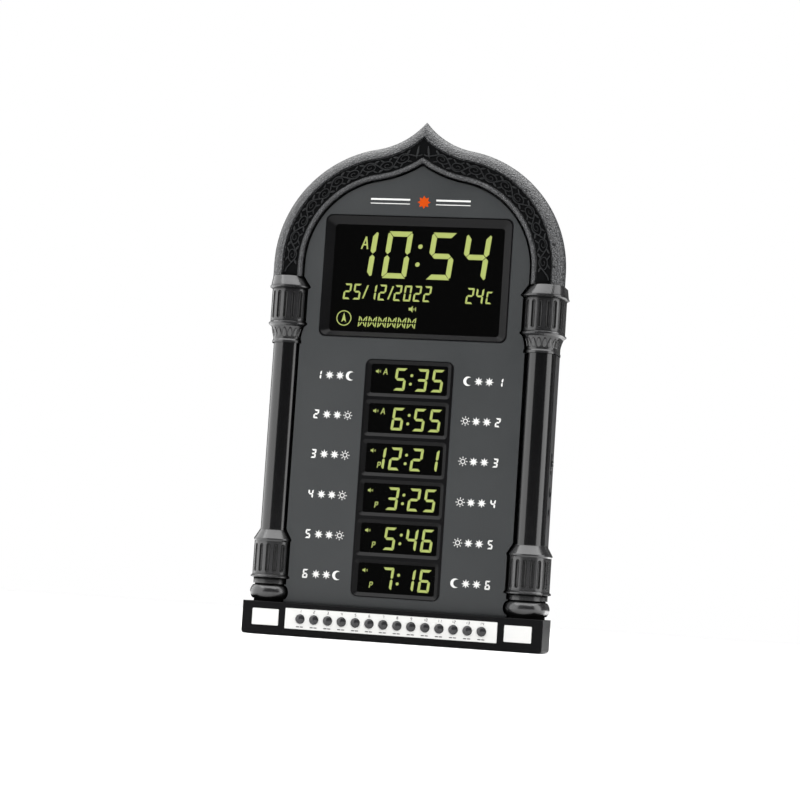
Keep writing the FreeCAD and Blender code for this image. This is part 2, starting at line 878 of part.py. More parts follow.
def board_screws():
    sets = (
        (main_board_front, main_post_places()),
        (times_board_front, times_post_places()),
        (button_board_front, button_post_places()),
    )
    sizes = (board_screw_radius, board_screw_length, board_screw_head_radius, board_screw_head)
    return [screw(front + board_thickness, x, z, *sizes) for front, places in sets for x, z in places]


def board_components():
    """Two chips, a pair of capacitors and a crystal on the back of the main board."""
    back = main_board_front + board_thickness
    chip_depth = (back, back + chip_height)
    parts = []
    for size, x, rise in ((chip_size, chip_x, chip_rise), (chip_size / 2, small_chip_x, small_chip_rise)):
        half = size / 2
        z = main_board_low_z + rise
        parts.append(box((x - half, x + half), chip_depth, (z - half, z + half)))
    for x in (capacitor_x, capacitor_x + capacitor_pitch):
        depth = (back, back + capacitor_height)
        parts.append(rod(capacitor_radius, depth, x, main_board_low_z + capacitor_rise))
    z = main_board_low_z + crystal_rise
    crystal = rounded_plate(crystal_width, crystal_height, crystal_corner, chip_depth, crystal_x, z)
    return parts + [crystal]


def button_places():
    first = -(button_count - 1) / 2 * button_pitch
    return [first + index * button_pitch for index in range(button_count)]


def button_post_places():
    return [(side * button_post_x, strip_middle_z) for side in (1, -1)]


def button(x):
    """A domed cap with its retaining flange and the stem that works the switch."""
    dome_radius = (button_radius ** 2 + button_dome ** 2) / (2 * button_dome)
    half_angle = math.asin(button_radius / dome_radius) / 2
    crown_y = button_front + dome_radius * (1 - math.cos(half_angle))
    crown = (dome_radius * math.sin(half_angle), crown_y)
    steps = [
        (crown, (button_radius, button_front + button_dome)),
        (button_radius, flange_front),
        (button_flange_radius, flange_front),
        (button_flange_radius, flange_back),
        (button_stem_radius, flange_back),
        (button_stem_radius, stem_end),
        (0.0, stem_end),
    ]
    return turned_along_depth((0.0, button_front), steps, x, strip_middle_z)


def button_bores(depth):
    return [rod(button_radius + button_gap, depth, x, strip_middle_z) for x in button_places()]


def tact_switches():
    half = switch_size / 2
    z = (strip_middle_z - half, strip_middle_z + half)
    switches = []
    for x in button_places():
        body = box((x - half, x + half), (switch_front, button_board_front), z)
        bore = rod(switch_bore_radius, (switch_front, switch_front + switch_bore_depth), x, strip_middle_z)
        switches.append(body.cut(bore))
    return switches


def plinth_block(y):
    """The plinth's outer form between two depths, with its two lower corners rounded."""
    half = base_width / 2
    block = box((-half, half), y, (0, base_height))
    floor_edges = [edge for edge in block.Edges if edge.BoundBox.ZMax < base_wall / 2]
    low_corners = [edge for edge in floor_edges if edge.BoundBox.XLength < base_wall]
    return block.makeFillet(base_corner, low_corners)


def base_housing():
    """Hollow plinth with pockets for the strip and plates, button bores and board posts."""
    block = plinth_block((base_front, cover_front))
    front_edges = [edge for edge in block.Edges if edge.BoundBox.YMax < base_front + base_edge / 2]
    block = block.makeChamfer(base_edge / 2, front_edges)
    half = base_width / 2 - base_wall
    cavity = box((-half, half), (base_inside, cover_front), (base_wall, base_height - base_wall))
    posts, holes = screw_posts(button_post_places(), base_inside, button_board_front)
    for side in (1, -1):
        x = side * base_post_x
        posts.append(rod(cover_post_radius, (base_inside, cover_front), x, base_height / 2))
        holes.append(rod(post_hole_radius + fit_gap, (base_back / 2, cover_front), x, base_height / 2))
    grow = 2 * fit_gap
    pocket_depth = (base_front - strip_proud, strip_back)
    cuts = button_bores((base_front, base_inside))
    for x, width, height in (
        (0, strip_width, strip_height),
        (plate_middle_x, plate_width, plate_height),
        (-plate_middle_x, plate_width, plate_height),
    ):
        cuts.append(rounded_plate(width + grow, height + grow, plate_corner, pocket_depth, x, strip_middle_z))
    wiring_width = (-wiring_half_width, wiring_half_width)
    wiring = box(wiring_width, wiring_depth, (base_height - base_wall, base_height))
    return [join([block.cut(cavity)] + posts).cut(cuts + holes + [wiring])]


def button_strip():
    depth = (strip_front, strip_back)
    plate = rounded_plate(strip_width, strip_height, plate_corner, depth, 0, strip_middle_z)
    return [plate.cut(button_bores(depth))]


def side_plate():
    depth = (strip_front, strip_back)
    return rounded_plate(plate_width, plate_height, plate_corner, depth, plate_middle_x, strip_middle_z)


def keyhole(side):
    """A hanging hole: a round head with a narrow slot above it."""
    x = side * keyhole_x
    depth = (cover_front, base_back)
    top_z = keyhole_z + keyhole_rise
    half = keyhole_slot_radius
    slot = box((x - half, x + half), depth, (keyhole_z, top_z))
    return [rod(keyhole_head_radius, depth, x, keyhole_z), slot, rod(half, depth, x, top_z)]


def grille_slots():
    """Level slots with round ends that fill a circle in front of the loudspeaker cone."""
    slots = []
    depth = (cover_front, base_back)
    rows = int((speaker_cone_radius - 2 * grille_slot) / grille_pitch)
    for row in range(-rows, rows + 1):
        rise = row * grille_pitch
        reach = math.sqrt(speaker_cone_radius ** 2 - rise ** 2) - grille_slot
        z = speaker_z + rise
        slots.append(rounded_plate(2 * reach, grille_slot, grille_corner, depth, speaker_x, z))
    return slots


def rear_cover():
    """Back plate with lip, bay opening, loudspeaker slots, keyholes and screw holes."""
    depth = (cover_front, base_back)
    plate = join([arch_plate(case_inset, base_height, depth), plinth_block(depth)])
    lip_inset = case_inset + case_wall + fit_gap
    lip_depth = (cover_front - cover_lip_reach, cover_front)
    low_z = base_height + fit_gap
    lip = arch_plate(lip_inset, low_z, lip_depth)
    lip = lip.cut(arch_plate(lip_inset + cover_lip_wall, low_z + cover_lip_wall, lip_depth))
    cuts = keyhole(1) + keyhole(-1) + grille_slots()
    for x, z in cover_screw_places():
        cuts.append(rod(cover_screw_radius + cover_screw_gap, depth, x, z))
        head_depth = (base_back - cover_screw_gap - cover_screw_head, base_back)
        cuts.append(rod(cover_screw_head_radius + cover_screw_gap, head_depth, x, z))
    cuts.append(rounded_plate(bay_opening_width, bay_opening_height, plate_corner, depth, bay_x, bay_z))
    return [join([plate, lip]).cut(cuts)]


def cover_screws():
    head_y = base_back - cover_screw_gap - cover_screw_head
    sizes = (cover_screw_radius, cover_screw_length, cover_screw_head_radius, cover_screw_head)
    return [screw(head_y, x, z, *sizes) for x, z in cover_screw_places()]


def turned_along_depth(start, steps, x, z):
    wire = outline(start, steps, lambda r, y: Vector(x + r, y, z))
    return Part.Face(wire).revolve(Vector(x, 0, z), BACK, 360)


def speaker():
    """Basket, cone and magnet of the loudspeaker, which faces the slots in the rear cover."""
    rim_front = cover_front - speaker_rim
    floor = rim_front - speaker_depth
    hole = speaker_cone_radius + button_gap
    basket = turned_along_depth(
        (hole, cover_front),
        [
            (speaker_radius, cover_front),
            (speaker_radius, rim_front),
            (hole + speaker_wall, rim_front),
            (magnet_radius + speaker_wall, floor),
            (0.0, floor),
            (0.0, floor + speaker_wall),
            (magnet_radius, floor + speaker_wall),
            (hole, rim_front),
        ],
        speaker_x,
        speaker_z,
    )
    roll_y = cover_front - cone_roll_drop
    throat_y = cover_front - cone_throat_drop
    neck = speaker_cone_radius - cone_surround
    cone = turned_along_depth(
        (speaker_cone_radius, roll_y),
        [
            (speaker_cone_radius, roll_y - cone_skin),
            (neck, roll_y - cone_skin),
            (cone_throat_radius, throat_y - cone_skin),
            (0.0, throat_y - cone_skin),
            (0.0, throat_y + cone_skin),
            ((cone_cap_radius, throat_y + cone_cap_rise), (cone_throat_radius, throat_y)),
            (neck, roll_y),
        ],
        speaker_x,
        speaker_z,
    )
    magnet = rod(magnet_radius, (floor - magnet_height, floor), speaker_x, speaker_z)
    return basket, cone, magnet


def battery_box():
    outer = box(
        (bay_x - bay_width / 2 - bay_wall, bay_x + bay_width / 2 + bay_wall),
        (bay_floor - bay_wall, cover_front),
        (bay_z - bay_height / 2 - bay_wall, bay_z + bay_height / 2 + bay_wall),
    )
    inner = box(
        (bay_x - bay_width / 2, bay_x + bay_width / 2),
        (bay_floor, cover_front),
        (bay_z - bay_height / 2, bay_z + bay_height / 2),
    )
    return [outer.cut(inner)]


def cell_places():
    first = bay_x - (cell_count - 1) / 2 * cell_pitch
    return [first + index * cell_pitch for index in range(cell_count)]


def battery_cells():
    """Cylindrical cells, each the other way up from its neighbour."""
    cells = []
    whole = cell_length + cell_nub
    for index, x in enumerate(cell_places()):
        low_z = bay_z - whole / 2
        can = Part.makeCylinder(cell_radius, cell_length, Vector(x, cell_y, low_z))
        nub = Part.makeCylinder(cell_nub_radius, cell_nub, Vector(x, cell_y, low_z + cell_length))
        cell = join([can, nub])
        if index % 2:
            cell = cell.mirror(Vector(0, 0, bay_z), UP)
        cells.append(cell)
    return cells


def battery_contacts():
    """A flat spring plate with a raised dimple at each end of each cell."""
    contacts = []
    half = contact_width / 2
    dimple = bay_end_room - contact_thickness - fit_gap
    low_z = bay_z - bay_height / 2
    for x in cell_places():
        plate = box((x - half, x + half), (cell_y - half, cell_y + half), (low_z, low_z + contact_thickness))
        bump = Part.makeCone(
            cell_nub_radius, cell_nub_radius / 2, dimple, Vector(x, cell_y, low_z + contact_thickness)
        )
        contact = join([plate, bump])
        contacts.append(contact)
        contacts.append(contact.mirror(Vector(0, 0, bay_z), UP))
    return contacts


def battery_door():
    """Flush lid with a thumb hollow."""
    width = bay_opening_width - 2 * door_gap
    height = bay_opening_height - 2 * door_gap
    lid = rounded_plate(width, height, plate_corner, (door_front, base_back), bay_x, bay_z)
    pull_y = base_back + door_pull_radius - door_pull_depth
    pull_z = bay_z + height / 2 - door_pull_radius
    start_x = bay_x - door_pull_radius
    pull = Part.makeCylinder(door_pull_radius, 2 * door_pull_radius, Vector(start_x, pull_y, pull_z), RIGHT)
    return [lid.cut(pull)]


def volume_wheel():
    """Thumb wheel with a notched rim on a stub shaft."""
    y = (control_y - wheel_thickness / 2, control_y + wheel_thickness / 2)
    disc = rod(wheel_radius, y, wheel_x, wheel_z)
    notches = []
    for index in range(wheel_notches):
        angle = math.tau * index / wheel_notches
        x = wheel_x + wheel_radius * math.cos(angle)
        z = wheel_z + wheel_radius * math.sin(angle)
        notches.append(rod(wheel_notch_radius, y, x, z))
    stub = rod(wheel_shaft_radius, (ledge_back + pot_gap, y[0]), wheel_x, wheel_z)
    return [join([disc.cut(notches), stub])]


def volume_control():
    body = rod(pot_radius, (ledge_back, ledge_back + pot_height), wheel_x, wheel_z)
    bore = rod(wheel_shaft_radius + running_gap, (ledge_back, ledge_back + pot_height), wheel_x, wheel_z)
    return [body.cut(bore)]


def slide_switch_body():
    back_x = wall_inside_x - slider_body_depth
    half_width = slider_body_width / 2
    half_height = slider_body_height / 2
    y = (control_y - half_width, control_y + half_width)
    body = box((back_x, wall_inside_x), y, (slider_z - half_height, slider_z + half_height))
    room_y = slider_width / 2 + slider_gap
    room_z = (slider_height + slider_travel) / 2 + slider_gap
    room_x = (wall_inside_x - slider_root - slider_gap, wall_inside_x)
    room = box(room_x, (control_y - room_y, control_y + room_y), (slider_z - room_z, slider_z + room_z))
    return [body.cut(room)]


def slide_switch_knob():
    low_z = slider_z - (slider_height + slider_travel) / 2
    half = slider_width / 2
    x = (wall_inside_x - slider_root, wall_outside_x + slider_proud)
    return [box(x, (control_y - half, control_y + half), (low_z, low_z + slider_height))]


def dc_jack():
    """Power socket with its round mouth in the side wall and a centre pin."""
    half = jack_body_size / 2
    back_x = wall_inside_x - jack_body_depth
    body = box((back_x, wall_inside_x), (control_y - half, control_y + half), (jack_z - half, jack_z + half))

    def along_x(radius, start, end):
        return Part.makeCylinder(radius, end - start, Vector(start, control_y, jack_z), RIGHT)

    collar = along_x(jack_collar_radius, wall_inside_x, wall_outside_x)
    bore_floor = wall_outside_x - jack_depth
    bore = along_x(jack_hole_radius, bore_floor, wall_outside_x)
    pin = along_x(jack_pin_radius, bore_floor, wall_outside_x - jack_pin_short)
    return [join([join([body, collar]).cut(bore), pin])]


def save(name, solids):
    """Moves the finished solids into the clock's own frame and writes them as one STEP file."""
    shape = Part.makeCompound([solid.copy() for solid in solids])
    shape.translate(Vector(0, -origin_y, 0))
    shape.exportStep(os.path.join("parts", name + ".step"))


def main():
    os.makedirs("parts", exist_ok=True)
    save("front_case", front_case())
    save("arch_moulding", arch_moulding())
    save("face_panel", face_panel())
    for name, piece in (("capital", capital()), ("column_shaft", shaft()), ("pedestal", pedestal())):
        save("right_" + name, [piece])
        save("left_" + name, [mirrored(piece)])
    save("base_housing", base_housing())
    save("button_strip", button_strip())
    save("right_plate", [side_plate()])
    save("left_plate", [mirrored(side_plate())])
    for index, x in enumerate(button_places()):
        save("button_%02d" % (index + 1), [button(x)])
    save("tact_switches", tact_switches())
    button_board_half = button_board_height / 2
    board_z = (strip_middle_z - button_board_half, strip_middle_z + button_board_half)
    save("button_board", board(button_board_width / 2, button_board_front, board_z, button_post_places()))
    save("main_bezel", main_bezel())
    save("times_bezel", times_bezel())
    lens, cell, light, strip = main_display()
    times_lens, cells, lights, strips = times_displays()
    save("main_lens", [lens])
    save("main_lcd", [cell])
    save("main_backlight", [light])
    save("times_lens", [times_lens])
    save("times_lcds", cells)
    save("times_backlights", lights)
    save("lcd_connectors", [strip] + strips)
    main_z = (main_board_low_z, main_board_top_z)
    save("main_board", board(main_board_width / 2, main_board_front, main_z, main_post_places()))
    times_z = (times_board_low_z, times_board_top_z)
    save("times_board", board(times_board_width / 2, times_board_front, times_z, times_post_places()))
    save("board_components", board_components())
    save("board_screws", board_screws())
    basket, cone, magnet = speaker()
    save("speaker_basket", [basket])
    save("speaker_cone", [cone])
    save("speaker_magnet", [magnet])
    save("rear_cover", rear_cover())
    save("cover_screws", cover_screws())
    save("battery_box", battery_box())
    save("battery_cells", battery_cells())
    save("battery_contacts", battery_contacts())
    save("battery_door", battery_door())
    save("volume_wheel", volume_wheel())
    save("volume_control", volume_control())
    save("slide_switch_body", slide_switch_body())
    save("slide_switch_knob", slide_switch_knob())
    save("dc_jack", dc_jack())


main()
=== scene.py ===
import math

import bmesh
import bpy
from mathutils import Matrix, Vector


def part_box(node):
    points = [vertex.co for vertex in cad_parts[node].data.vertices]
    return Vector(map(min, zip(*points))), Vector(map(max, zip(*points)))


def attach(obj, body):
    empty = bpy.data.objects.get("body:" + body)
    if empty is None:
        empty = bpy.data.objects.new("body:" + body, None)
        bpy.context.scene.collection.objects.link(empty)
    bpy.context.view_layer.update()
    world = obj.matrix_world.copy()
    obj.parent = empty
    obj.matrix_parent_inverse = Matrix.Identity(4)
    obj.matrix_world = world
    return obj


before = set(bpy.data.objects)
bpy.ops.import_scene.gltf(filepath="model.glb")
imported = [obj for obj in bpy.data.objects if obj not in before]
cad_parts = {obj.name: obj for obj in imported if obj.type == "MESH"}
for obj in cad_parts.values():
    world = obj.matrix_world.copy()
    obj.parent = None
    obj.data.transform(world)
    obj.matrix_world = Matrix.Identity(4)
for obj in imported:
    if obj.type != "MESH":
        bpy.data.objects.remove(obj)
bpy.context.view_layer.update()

bl_info = {
    "name": "Arched digital clock",
    "version": (1, 0, 0),
    "blender": (4, 5, 0),
    "location": "View3D > Sidebar > Arch Clock",
    "description": "Dresses the packed clock with finishes, displays, carving and printed marks",
    "category": "Object",
}

MM = 0.001
BODY = "clock"

# Planes and places that come from the frame
PANEL_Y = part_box("face_panel")[0].y
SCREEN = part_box("main_lens")
SMALL_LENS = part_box("times_lens")
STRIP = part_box("button_strip")

# Thin pieces: how far they reach into the surface they lie on and stand out of it, in metres
SINK = 0.02 * MM
PRINT_OUT = 0.05 * MM
THIN_OUT = 0.04 * MM

# Lit figures: how far their front and back lie in front of the back of the lens, in metres
FIGURE_FRONT = 0.12 * MM
FIGURE_BACK = 0.04 * MM

# Places and sizes on the main display, in millimetres across and up
TIME_X = (-42.7, -16.2, 17.5, 43.7)
TIME_COLON_X = 0.4
TIME_DOT = 3.4
DATE_LEFT = -52.6
DATE_Z = 258.7
DATE_PITCH = 7.5
DATE_FIGURE = (5.6, 11.9, 1.35)
SLASH_PITCH = 4.4
SLASH_SHIFT = 1.1
SLASH_LEAN = 0.35
SLASH_CORNERS = ((-0.6, -5), (0.6, -5), (0.6, 5), (-0.6, 5))
WARMTH_LEFT = 41.0
WARMTH_Z = 258.5
WARMTH_PITCH = 7.3
DEGREE_LETTER = (55.6, 257.6, (4.6, 9.2, 1.2))
MORNING_LETTER = (-41.2, 295.8, (4.6, 9.4, 1.1))
COMPASS = (-53.9, 238.5)
COMPASS_RADII = (5.8, 5.1)
COMPASS_NEEDLE = ((0.0, 4.2), (-1.9, -3.2), (0.0, -1.4), (1.9, -3.2))
CELL_COUNT = 6
CELL_LEFT = -39.4
CELL_Z = 236.4
CELL_PITCH = 7.5
CELL_FIGURE = (5.4, 7.8, 0.8)
SPEAKER_ICON = (-2.2, 247.0, 5.0)

# Places and sizes in a small display, in millimetres, up from the middle of its window
SMALL_RIGHT = 21.3
SMALL_PITCH = 11.9
SMALL_COLON_PITCH = 4.4
SMALL_COLON_SHIFT = 3.75
SMALL_DOT = 2.2
SMALL_SPEAKER = (-24.2, 5.4, 3.4)
SMALL_MORNING = (-18.4, 5.4, (2.9, 4.6, 0.6))
SMALL_EVENING = (-18.9, -5.2, (2.5, 4.8, 0.65))
MORNING_ROWS = 2

# Printed marks beside the small displays and over the main one, in millimetres
MARK_LEVELS = (194.7, 165.2, 135.6, 105.6, 75.9, 46.4)
MOON_ROWS = (0, 5)
MARK_ICON_X = 44.6
MARK_ICON_RADIUS = 3.5
MARK_STAR_X = (52.6, 60.6)
MARK_STAR_RADII = (3.4, 1.5)
MARK_FIGURE_X = 68.8
MARK_FIGURE = (3.9, 6.6, 1.15)
TOP_STAR = (2.7, 326.8)
TOP_STAR_RADII = (5.0, 3.1)
RULE_SPANS = ((-38.0, -8.0), (12.0, 38.0))
RULE_LEVELS = ((328.4, 1.3), (325.2, 0.6))

# Marks round the buttons, in millimetres
BUTTON_COUNT = 14
BUTTON_PITCH = 10.46
BUTTON_FIGURE_Z = 18.4
BUTTON_FIGURE = (1.3, 2.0, 0.36)
BUTTON_FIGURE_PITCH = 1.9
DASH_SPANS = ((-2.6, -0.3), (0.3, 2.6))
DASH_Z = 6.9
DASH_WIDTH = 0.7

# Carving of the arch, in millimetres: its ends, the steps of its lines, its floor and its strands
FOOT_GAP = 3.0
POINT_GAP = 3.5
BAND_STEP = 1.0
FLOOR_STEP = 1.5
FLOOR_OUT = 0.03
FLOOR_IN = 0.05
VINE_WIDTH = 1.1
TENDRIL_SHIFT = 0.5
TENDRIL_WIDTHS = (0.9, 0.6)

# Steps in a bend of the vine and in a tendril, and the turn of a tendril in radians
VINE_STEPS = 12
TENDRIL_STEPS = 36
TENDRIL_SWEEP = 3.0 * math.pi

# Shares of the band's width, a bend's length, a circle's height, the relief and a strand's width
VINE_SWING = 0.34
TENDRIL_RADII = (0.42, 0.05)
TENDRIL_FLATNESS = 0.62
TENDRIL_RELIEF = 0.85
STRAND_TOP = 0.45

# Leaves at a bend: root and tip in bends along and swings across, width in millimetres, share of the relief
BEND_LEAVES = (
    ((0.27, 0.7), (0.56, 1.15), 1.9, 1.0),
    ((0.1, -0.55), (0.36, -1.2), 1.3, 0.8),
)

# Leaf at the point of the arch: root and tip in millimetres along and in swings across, then its width
POINT_LEAF = ((-5.0, -1.0), (1.5, 0.9), 2.0)

# Bells of the capitals, in millimetres; a leaf's section is in half widths across and millimetres out
BELL_INSET = 14.6
BELL_DEPTH = 6.8
BELL_LOW_Z = 220.8
BELL_TOP_Z = 229.6
BELL_LOW_RADIUS = 11.3
BELL_FLARE = 2.1
BELL_HOLLOW = 2.0
BELL_LEAF_COUNT = 11
BELL_LEAF_TURN = math.radians(20)
BELL_LEAF_HALF_WIDTH = 2.0
BELL_LEAF_ROOT = 0.5
BELL_LEAF_SECTION = ((-1.0, -0.2), (-0.55, 0.5), (0.0, 0.25), (0.55, 0.5), (1.0, -0.2))

# Cross recesses of the cover screws, in millimetres and radians
HEAD_SPREAD = 6.5
HEAD_RIM = 0.01
CROSS_TURN = 0.4
CROSS_ARM = ((0.35, -0.35), (1.7, -0.35), (1.7, 0.35))

# Surfaces: scales of the soft noises, the span that a noise keeps to, and the black of the painted shade in
# deep grooves
MOTTLE_SCALE = 60.0
SMUDGE_SCALE = 22.0
NOISE_LOW = 0.3
NOISE_HIGH = 0.7
PEBBLE_FLANK = 0.35
PAINTED_SHADE_BLACK = (0.003, 0.003, 0.003)

# Stage, in metres, and the share of the white background that lights the clock
FLOOR_THICKNESS = 0.01
FLOOR_GAP = 0.0004
LIGHT_AIM_Z = 0.2
ROOM_LIGHT = 0.1

SIDES = (("right", 1), ("left", -1))


def srgb(red, green, blue):
    """A display colour in 0 to 255 as the linear colour that shaders use."""
    def linear(value):
        value /= 255
        return value / 12.92 if value <= 0.04045 else ((value + 0.055) / 1.055) ** 2.4
    return (linear(red), linear(green), linear(blue))


def length(name, description, default):
    return bpy.props.FloatProperty(
        name=name, description=description, default=default, unit="LENGTH", subtype="DISTANCE", precision=5
    )


def angle(name, description, default):
    return bpy.props.FloatProperty(
        name=name, description=description, default=math.radians(default), subtype="ANGLE"
    )


def tint(name, description, default):
    return bpy.props.FloatVectorProperty(
        name=name, description=description, default=default, size=3, min=0.0, max=1.0, subtype="COLOR"
    )


def words(name, description, default):
    return bpy.props.StringProperty(name=name, description=description, default=default)


class ArchClockFinish(bpy.types.PropertyGroup):
    panel: tint("Panel", "Slate of the face panel", srgb(42, 44, 45))
    moulding: tint("Moulding", "Grey of the arch and the case", srgb(52, 53, 55))
    turned: tint("Turned", "Dark grey of the capitals and the pedestals", srgb(27, 27, 28))
    carved: tint("Carved band", "Vine of the carved band", srgb(33, 34, 35))
    gloss: tint("Gloss", "Polished black of the shafts and the frames", srgb(5, 5, 6))
    plinth: tint("Plinth", "Satin black of the plinth", srgb(4, 4, 5))
    white: tint("White", "White of the strip, the plates and the printed marks", srgb(202, 202, 200))
    button: tint("Button", "Dark grey of the button caps", srgb(34, 34, 36))


class ArchClockArch(bpy.types.PropertyGroup):
    half_width: length("Half width", "Half of the width of the arch", 111.0 * MM)
    radius: length("Shoulder radius", "Radius of the round shoulder", 90.2 * MM)
    spring: length("Spring height", "Height where the shoulder starts", 278.0 * MM)
    tip: length("Tip height", "Height of the point", 388.0 * MM)
    reverse: length("Reverse radius", "Radius of the reversed curve", 61.1 * MM)
    foot: length("Foot height", "Height where the arch meets the capitals", 268.0 * MM)
    band: length("Band inset", "From the outer edge to the middle of the carved band", 14.7 * MM)
    band_width: length("Band width", "Width of the carved band", 11.0 * MM)
    floor: length("Band floor", "Depth of the carved floor in front of the panel", 1.4 * MM)
    relief: length("Relief", "Height of the carving", 1.0 * MM)
    scroll: length("Scroll", "Length of one bend of the vine", 13.5 * MM)


class ArchClockDisplay(bpy.types.PropertyGroup):
    lit: tint("Lit", "Yellow-green of the lit segments", srgb(184, 197, 108))
    glow: bpy.props.FloatProperty(
        name="Glow", description="Strength of the lit segments", default=0.86, min=0.0
    )
    slant: angle("Slant", "Lean of the figures", 6.0)
    digit_height: length("Large figure", "Height of the time figures", 35.5 * MM)
    digit_width: length("Large width", "Width of the time figures", 19.0 * MM)
    digit_stroke: length("Large stroke", "Stroke of the time figures", 3.9 * MM)
    middle: length("Time height", "Height of the middle of the time", 287.4 * MM)
    time: words("Time", "Figures of the large time", "10:54")
    date: words("Date", "Figures of the date row", "25/12/2022")
    warmth: words("Temperature", "Figures of the temperature", "24")
    window_low: length("Lowest window", "Height of the middle of the lowest window", 46.3 * MM)
    window_pitch: length("Window pitch", "Height from one window to the next", 29.54 * MM)
    small_height: length("Small figure", "Height of the small figures", 16.8 * MM)
    small_width: length("Small width", "Width of the small figures", 8.6 * MM)
    small_stroke: length("Small stroke", "Stroke of the small figures", 1.9 * MM)
    times: words("Small times", "The six small times from the top down", "5:35 6:55 12:21 3:25 5:46 7:16")


class ArchClockStage(bpy.types.PropertyGroup):
    azimuth: angle("Azimuth", "Camera to the viewer's right of the clock", 13.0)
    elevation: angle("Elevation", "Camera above the level of its target", -4.78)
    roll: angle("Roll", "Turn of the camera about its view", 3.81)
    distance: length("Distance", "Camera to target", 1677.0 * MM)
    target_x: length("Target across", "Target to the right of the middle", -5.6 * MM)
    target_z: length("Target height", "Target above the floor", 178.5 * MM)
    lens: bpy.props.FloatProperty(
        name="Lens", description="Focal length", default=102.06, subtype="DISTANCE_CAMERA"
    )
    floor_half: length("Floor", "Half of the side of the floor", 1.5)


def settings(part):
    return getattr(bpy.context.scene, "arch_clock_" + part)


def in_mm(values):
    return tuple(value * MM for value in values)


# Shader nodes

def new_group(name, inputs, outputs):
    group = bpy.data.node_groups.new(name, "ShaderNodeTree")
    for label, kind, value in inputs:
        socket = group.interface.new_socket(label, in_out="INPUT", socket_type=kind)
        if value is not None:
            socket.default_value = value
    for label, kind in outputs:
        group.interface.new_socket(label, in_out="OUTPUT", socket_type=kind)
    return group, group.nodes.new("NodeGroupInput"), group.nodes.new("NodeGroupOutput")


def connect(tree, value, socket):
    """Links an input to another node's output, or gives it a number or a colour."""
    if isinstance(value, bpy.types.NodeSocket):
        tree.links.new(value, socket)
    elif isinstance(value, (int, float)):
        socket.default_value = value
    else:
        socket.default_value = (*value, 1.0)


def feed(tree, node, **inputs):
    """Connects a node's inputs by name, with underscores for spaces, and gives the node back."""
    for label, value in inputs.items():
        connect(tree, value, node.inputs[label.replace("_", " ")])
    return node


def math_node(tree, operation, first, second):
    node = tree.nodes.new("ShaderNodeMath")
    node.operation = operation
    for socket, value in zip(node.inputs, (first, second)):
        connect(tree, value, socket)
    return node.outputs[0]


def noise(tree, vector, scale, detail):
    node = tree.nodes.new("ShaderNodeTexNoise")
    return feed(tree, node, Vector=vector, Scale=scale, Detail=detail).outputs[0]


def map_range(tree, value, smooth=False, **limits):
    node = tree.nodes.new("ShaderNodeMapRange")
    if smooth:
        node.interpolation_type = "SMOOTHSTEP"
    return feed(tree, node, Value=value, **limits).outputs["Result"]


def mix_colour(tree, factor, first, second):
    node = tree.nodes.new("ShaderNodeMix")
    node.data_type = "RGBA"
    return feed(tree, node, Factor=factor, A=first, B=second).outputs["Result"]


def grain_group():
    """Moulded grain: a fine height, a soft mottle for colour and a smudge for roughness."""
    inputs = [("Vector", "NodeSocketVector", None), ("Grain Size", "NodeSocketFloat", 0.0004)]
    outputs = [("Height", "NodeSocketFloat"), ("Mottle", "NodeSocketFloat"), ("Smudge", "NodeSocketFloat")]
    group, source, sink = new_group("Moulded grain", inputs, outputs)
    vector = source.outputs["Vector"]
    scale = math_node(group, "DIVIDE", 1.0, source.outputs["Grain Size"])
    feed(
        group, sink,
        Height=noise(group, vector, scale, 2.0),
        Mottle=noise(group, vector, MOTTLE_SCALE, 3.0),
        Smudge=noise(group, vector, SMUDGE_SCALE, 4.0),
    )


def pebble_group():
    """Pebbled leather-like moulding: rounded cells with narrow valleys."""
    inputs = [("Vector", "NodeSocketVector", None), ("Pebble Size", "NodeSocketFloat", 0.0016)]
    outputs = [("Height", "NodeSocketFloat"), ("Valley", "NodeSocketFloat")]
    group, source, sink = new_group("Pebbled moulding", inputs, outputs)
    cells = group.nodes.new("ShaderNodeTexVoronoi")
    cells.feature = "DISTANCE_TO_EDGE"
    scale = math_node(group, "DIVIDE", 1.0, source.outputs["Pebble Size"])
    feed(group, cells, Vector=source.outputs["Vector"], Scale=scale)
    rounded = map_range(group, cells.outputs["Distance"], smooth=True, From_Max=PEBBLE_FLANK)
    feed(group, sink, Height=rounded, Valley=math_node(group, "SUBTRACT", 1.0, rounded))


def crevice_shade_group():
    """Painted shade for recesses: zero in the open and one deep in grooves and corners."""
    inputs = [
        ("Reach", "NodeSocketFloat", 0.003),
        ("Depth", "NodeSocketFloat", 1.0),
        ("Open", "NodeSocketFloat", 0.9),
        ("Closed", "NodeSocketFloat", 0.35),
    ]
    group, source, sink = new_group("Crevices", inputs, [("Mask", "NodeSocketFloat")])
    occlusion = group.nodes.new("ShaderNodeAmbientOcclusion")
    occlusion.samples = 8
    feed(group, occlusion, Distance=source.outputs["Reach"])
    limits = {"From_Min": source.outputs["Open"], "From_Max": source.outputs["Closed"]}
    spread = map_range(group, occlusion.outputs["AO"], smooth=True, **limits)
    feed(group, sink, Mask=math_node(group, "MULTIPLY", spread, source.outputs["Depth"]))


def place_group(tree, name, **values):
    node = tree.nodes.new("ShaderNodeGroup")
    node.node_tree = bpy.data.node_groups[name]
    return feed(tree, node, **values)


def place_surface(tree, name, **values):
    """Adds a group that reads the piece's own coordinates."""
    coordinates = tree.nodes.new("ShaderNodeTexCoord")
    return place_group(tree, name, Vector=coordinates.outputs["Object"], **values)


def paint_crevice_shade(tree, colour, reach, depth, closed=0.35):
    """Lays painted shade from the crevice mask over a colour, and gives the mask too."""
    mask = place_group(tree, "Crevices", Reach=reach, Depth=depth, Closed=closed).outputs["Mask"]
    return mix_colour(tree, mask, colour, PAINTED_SHADE_BLACK), mask


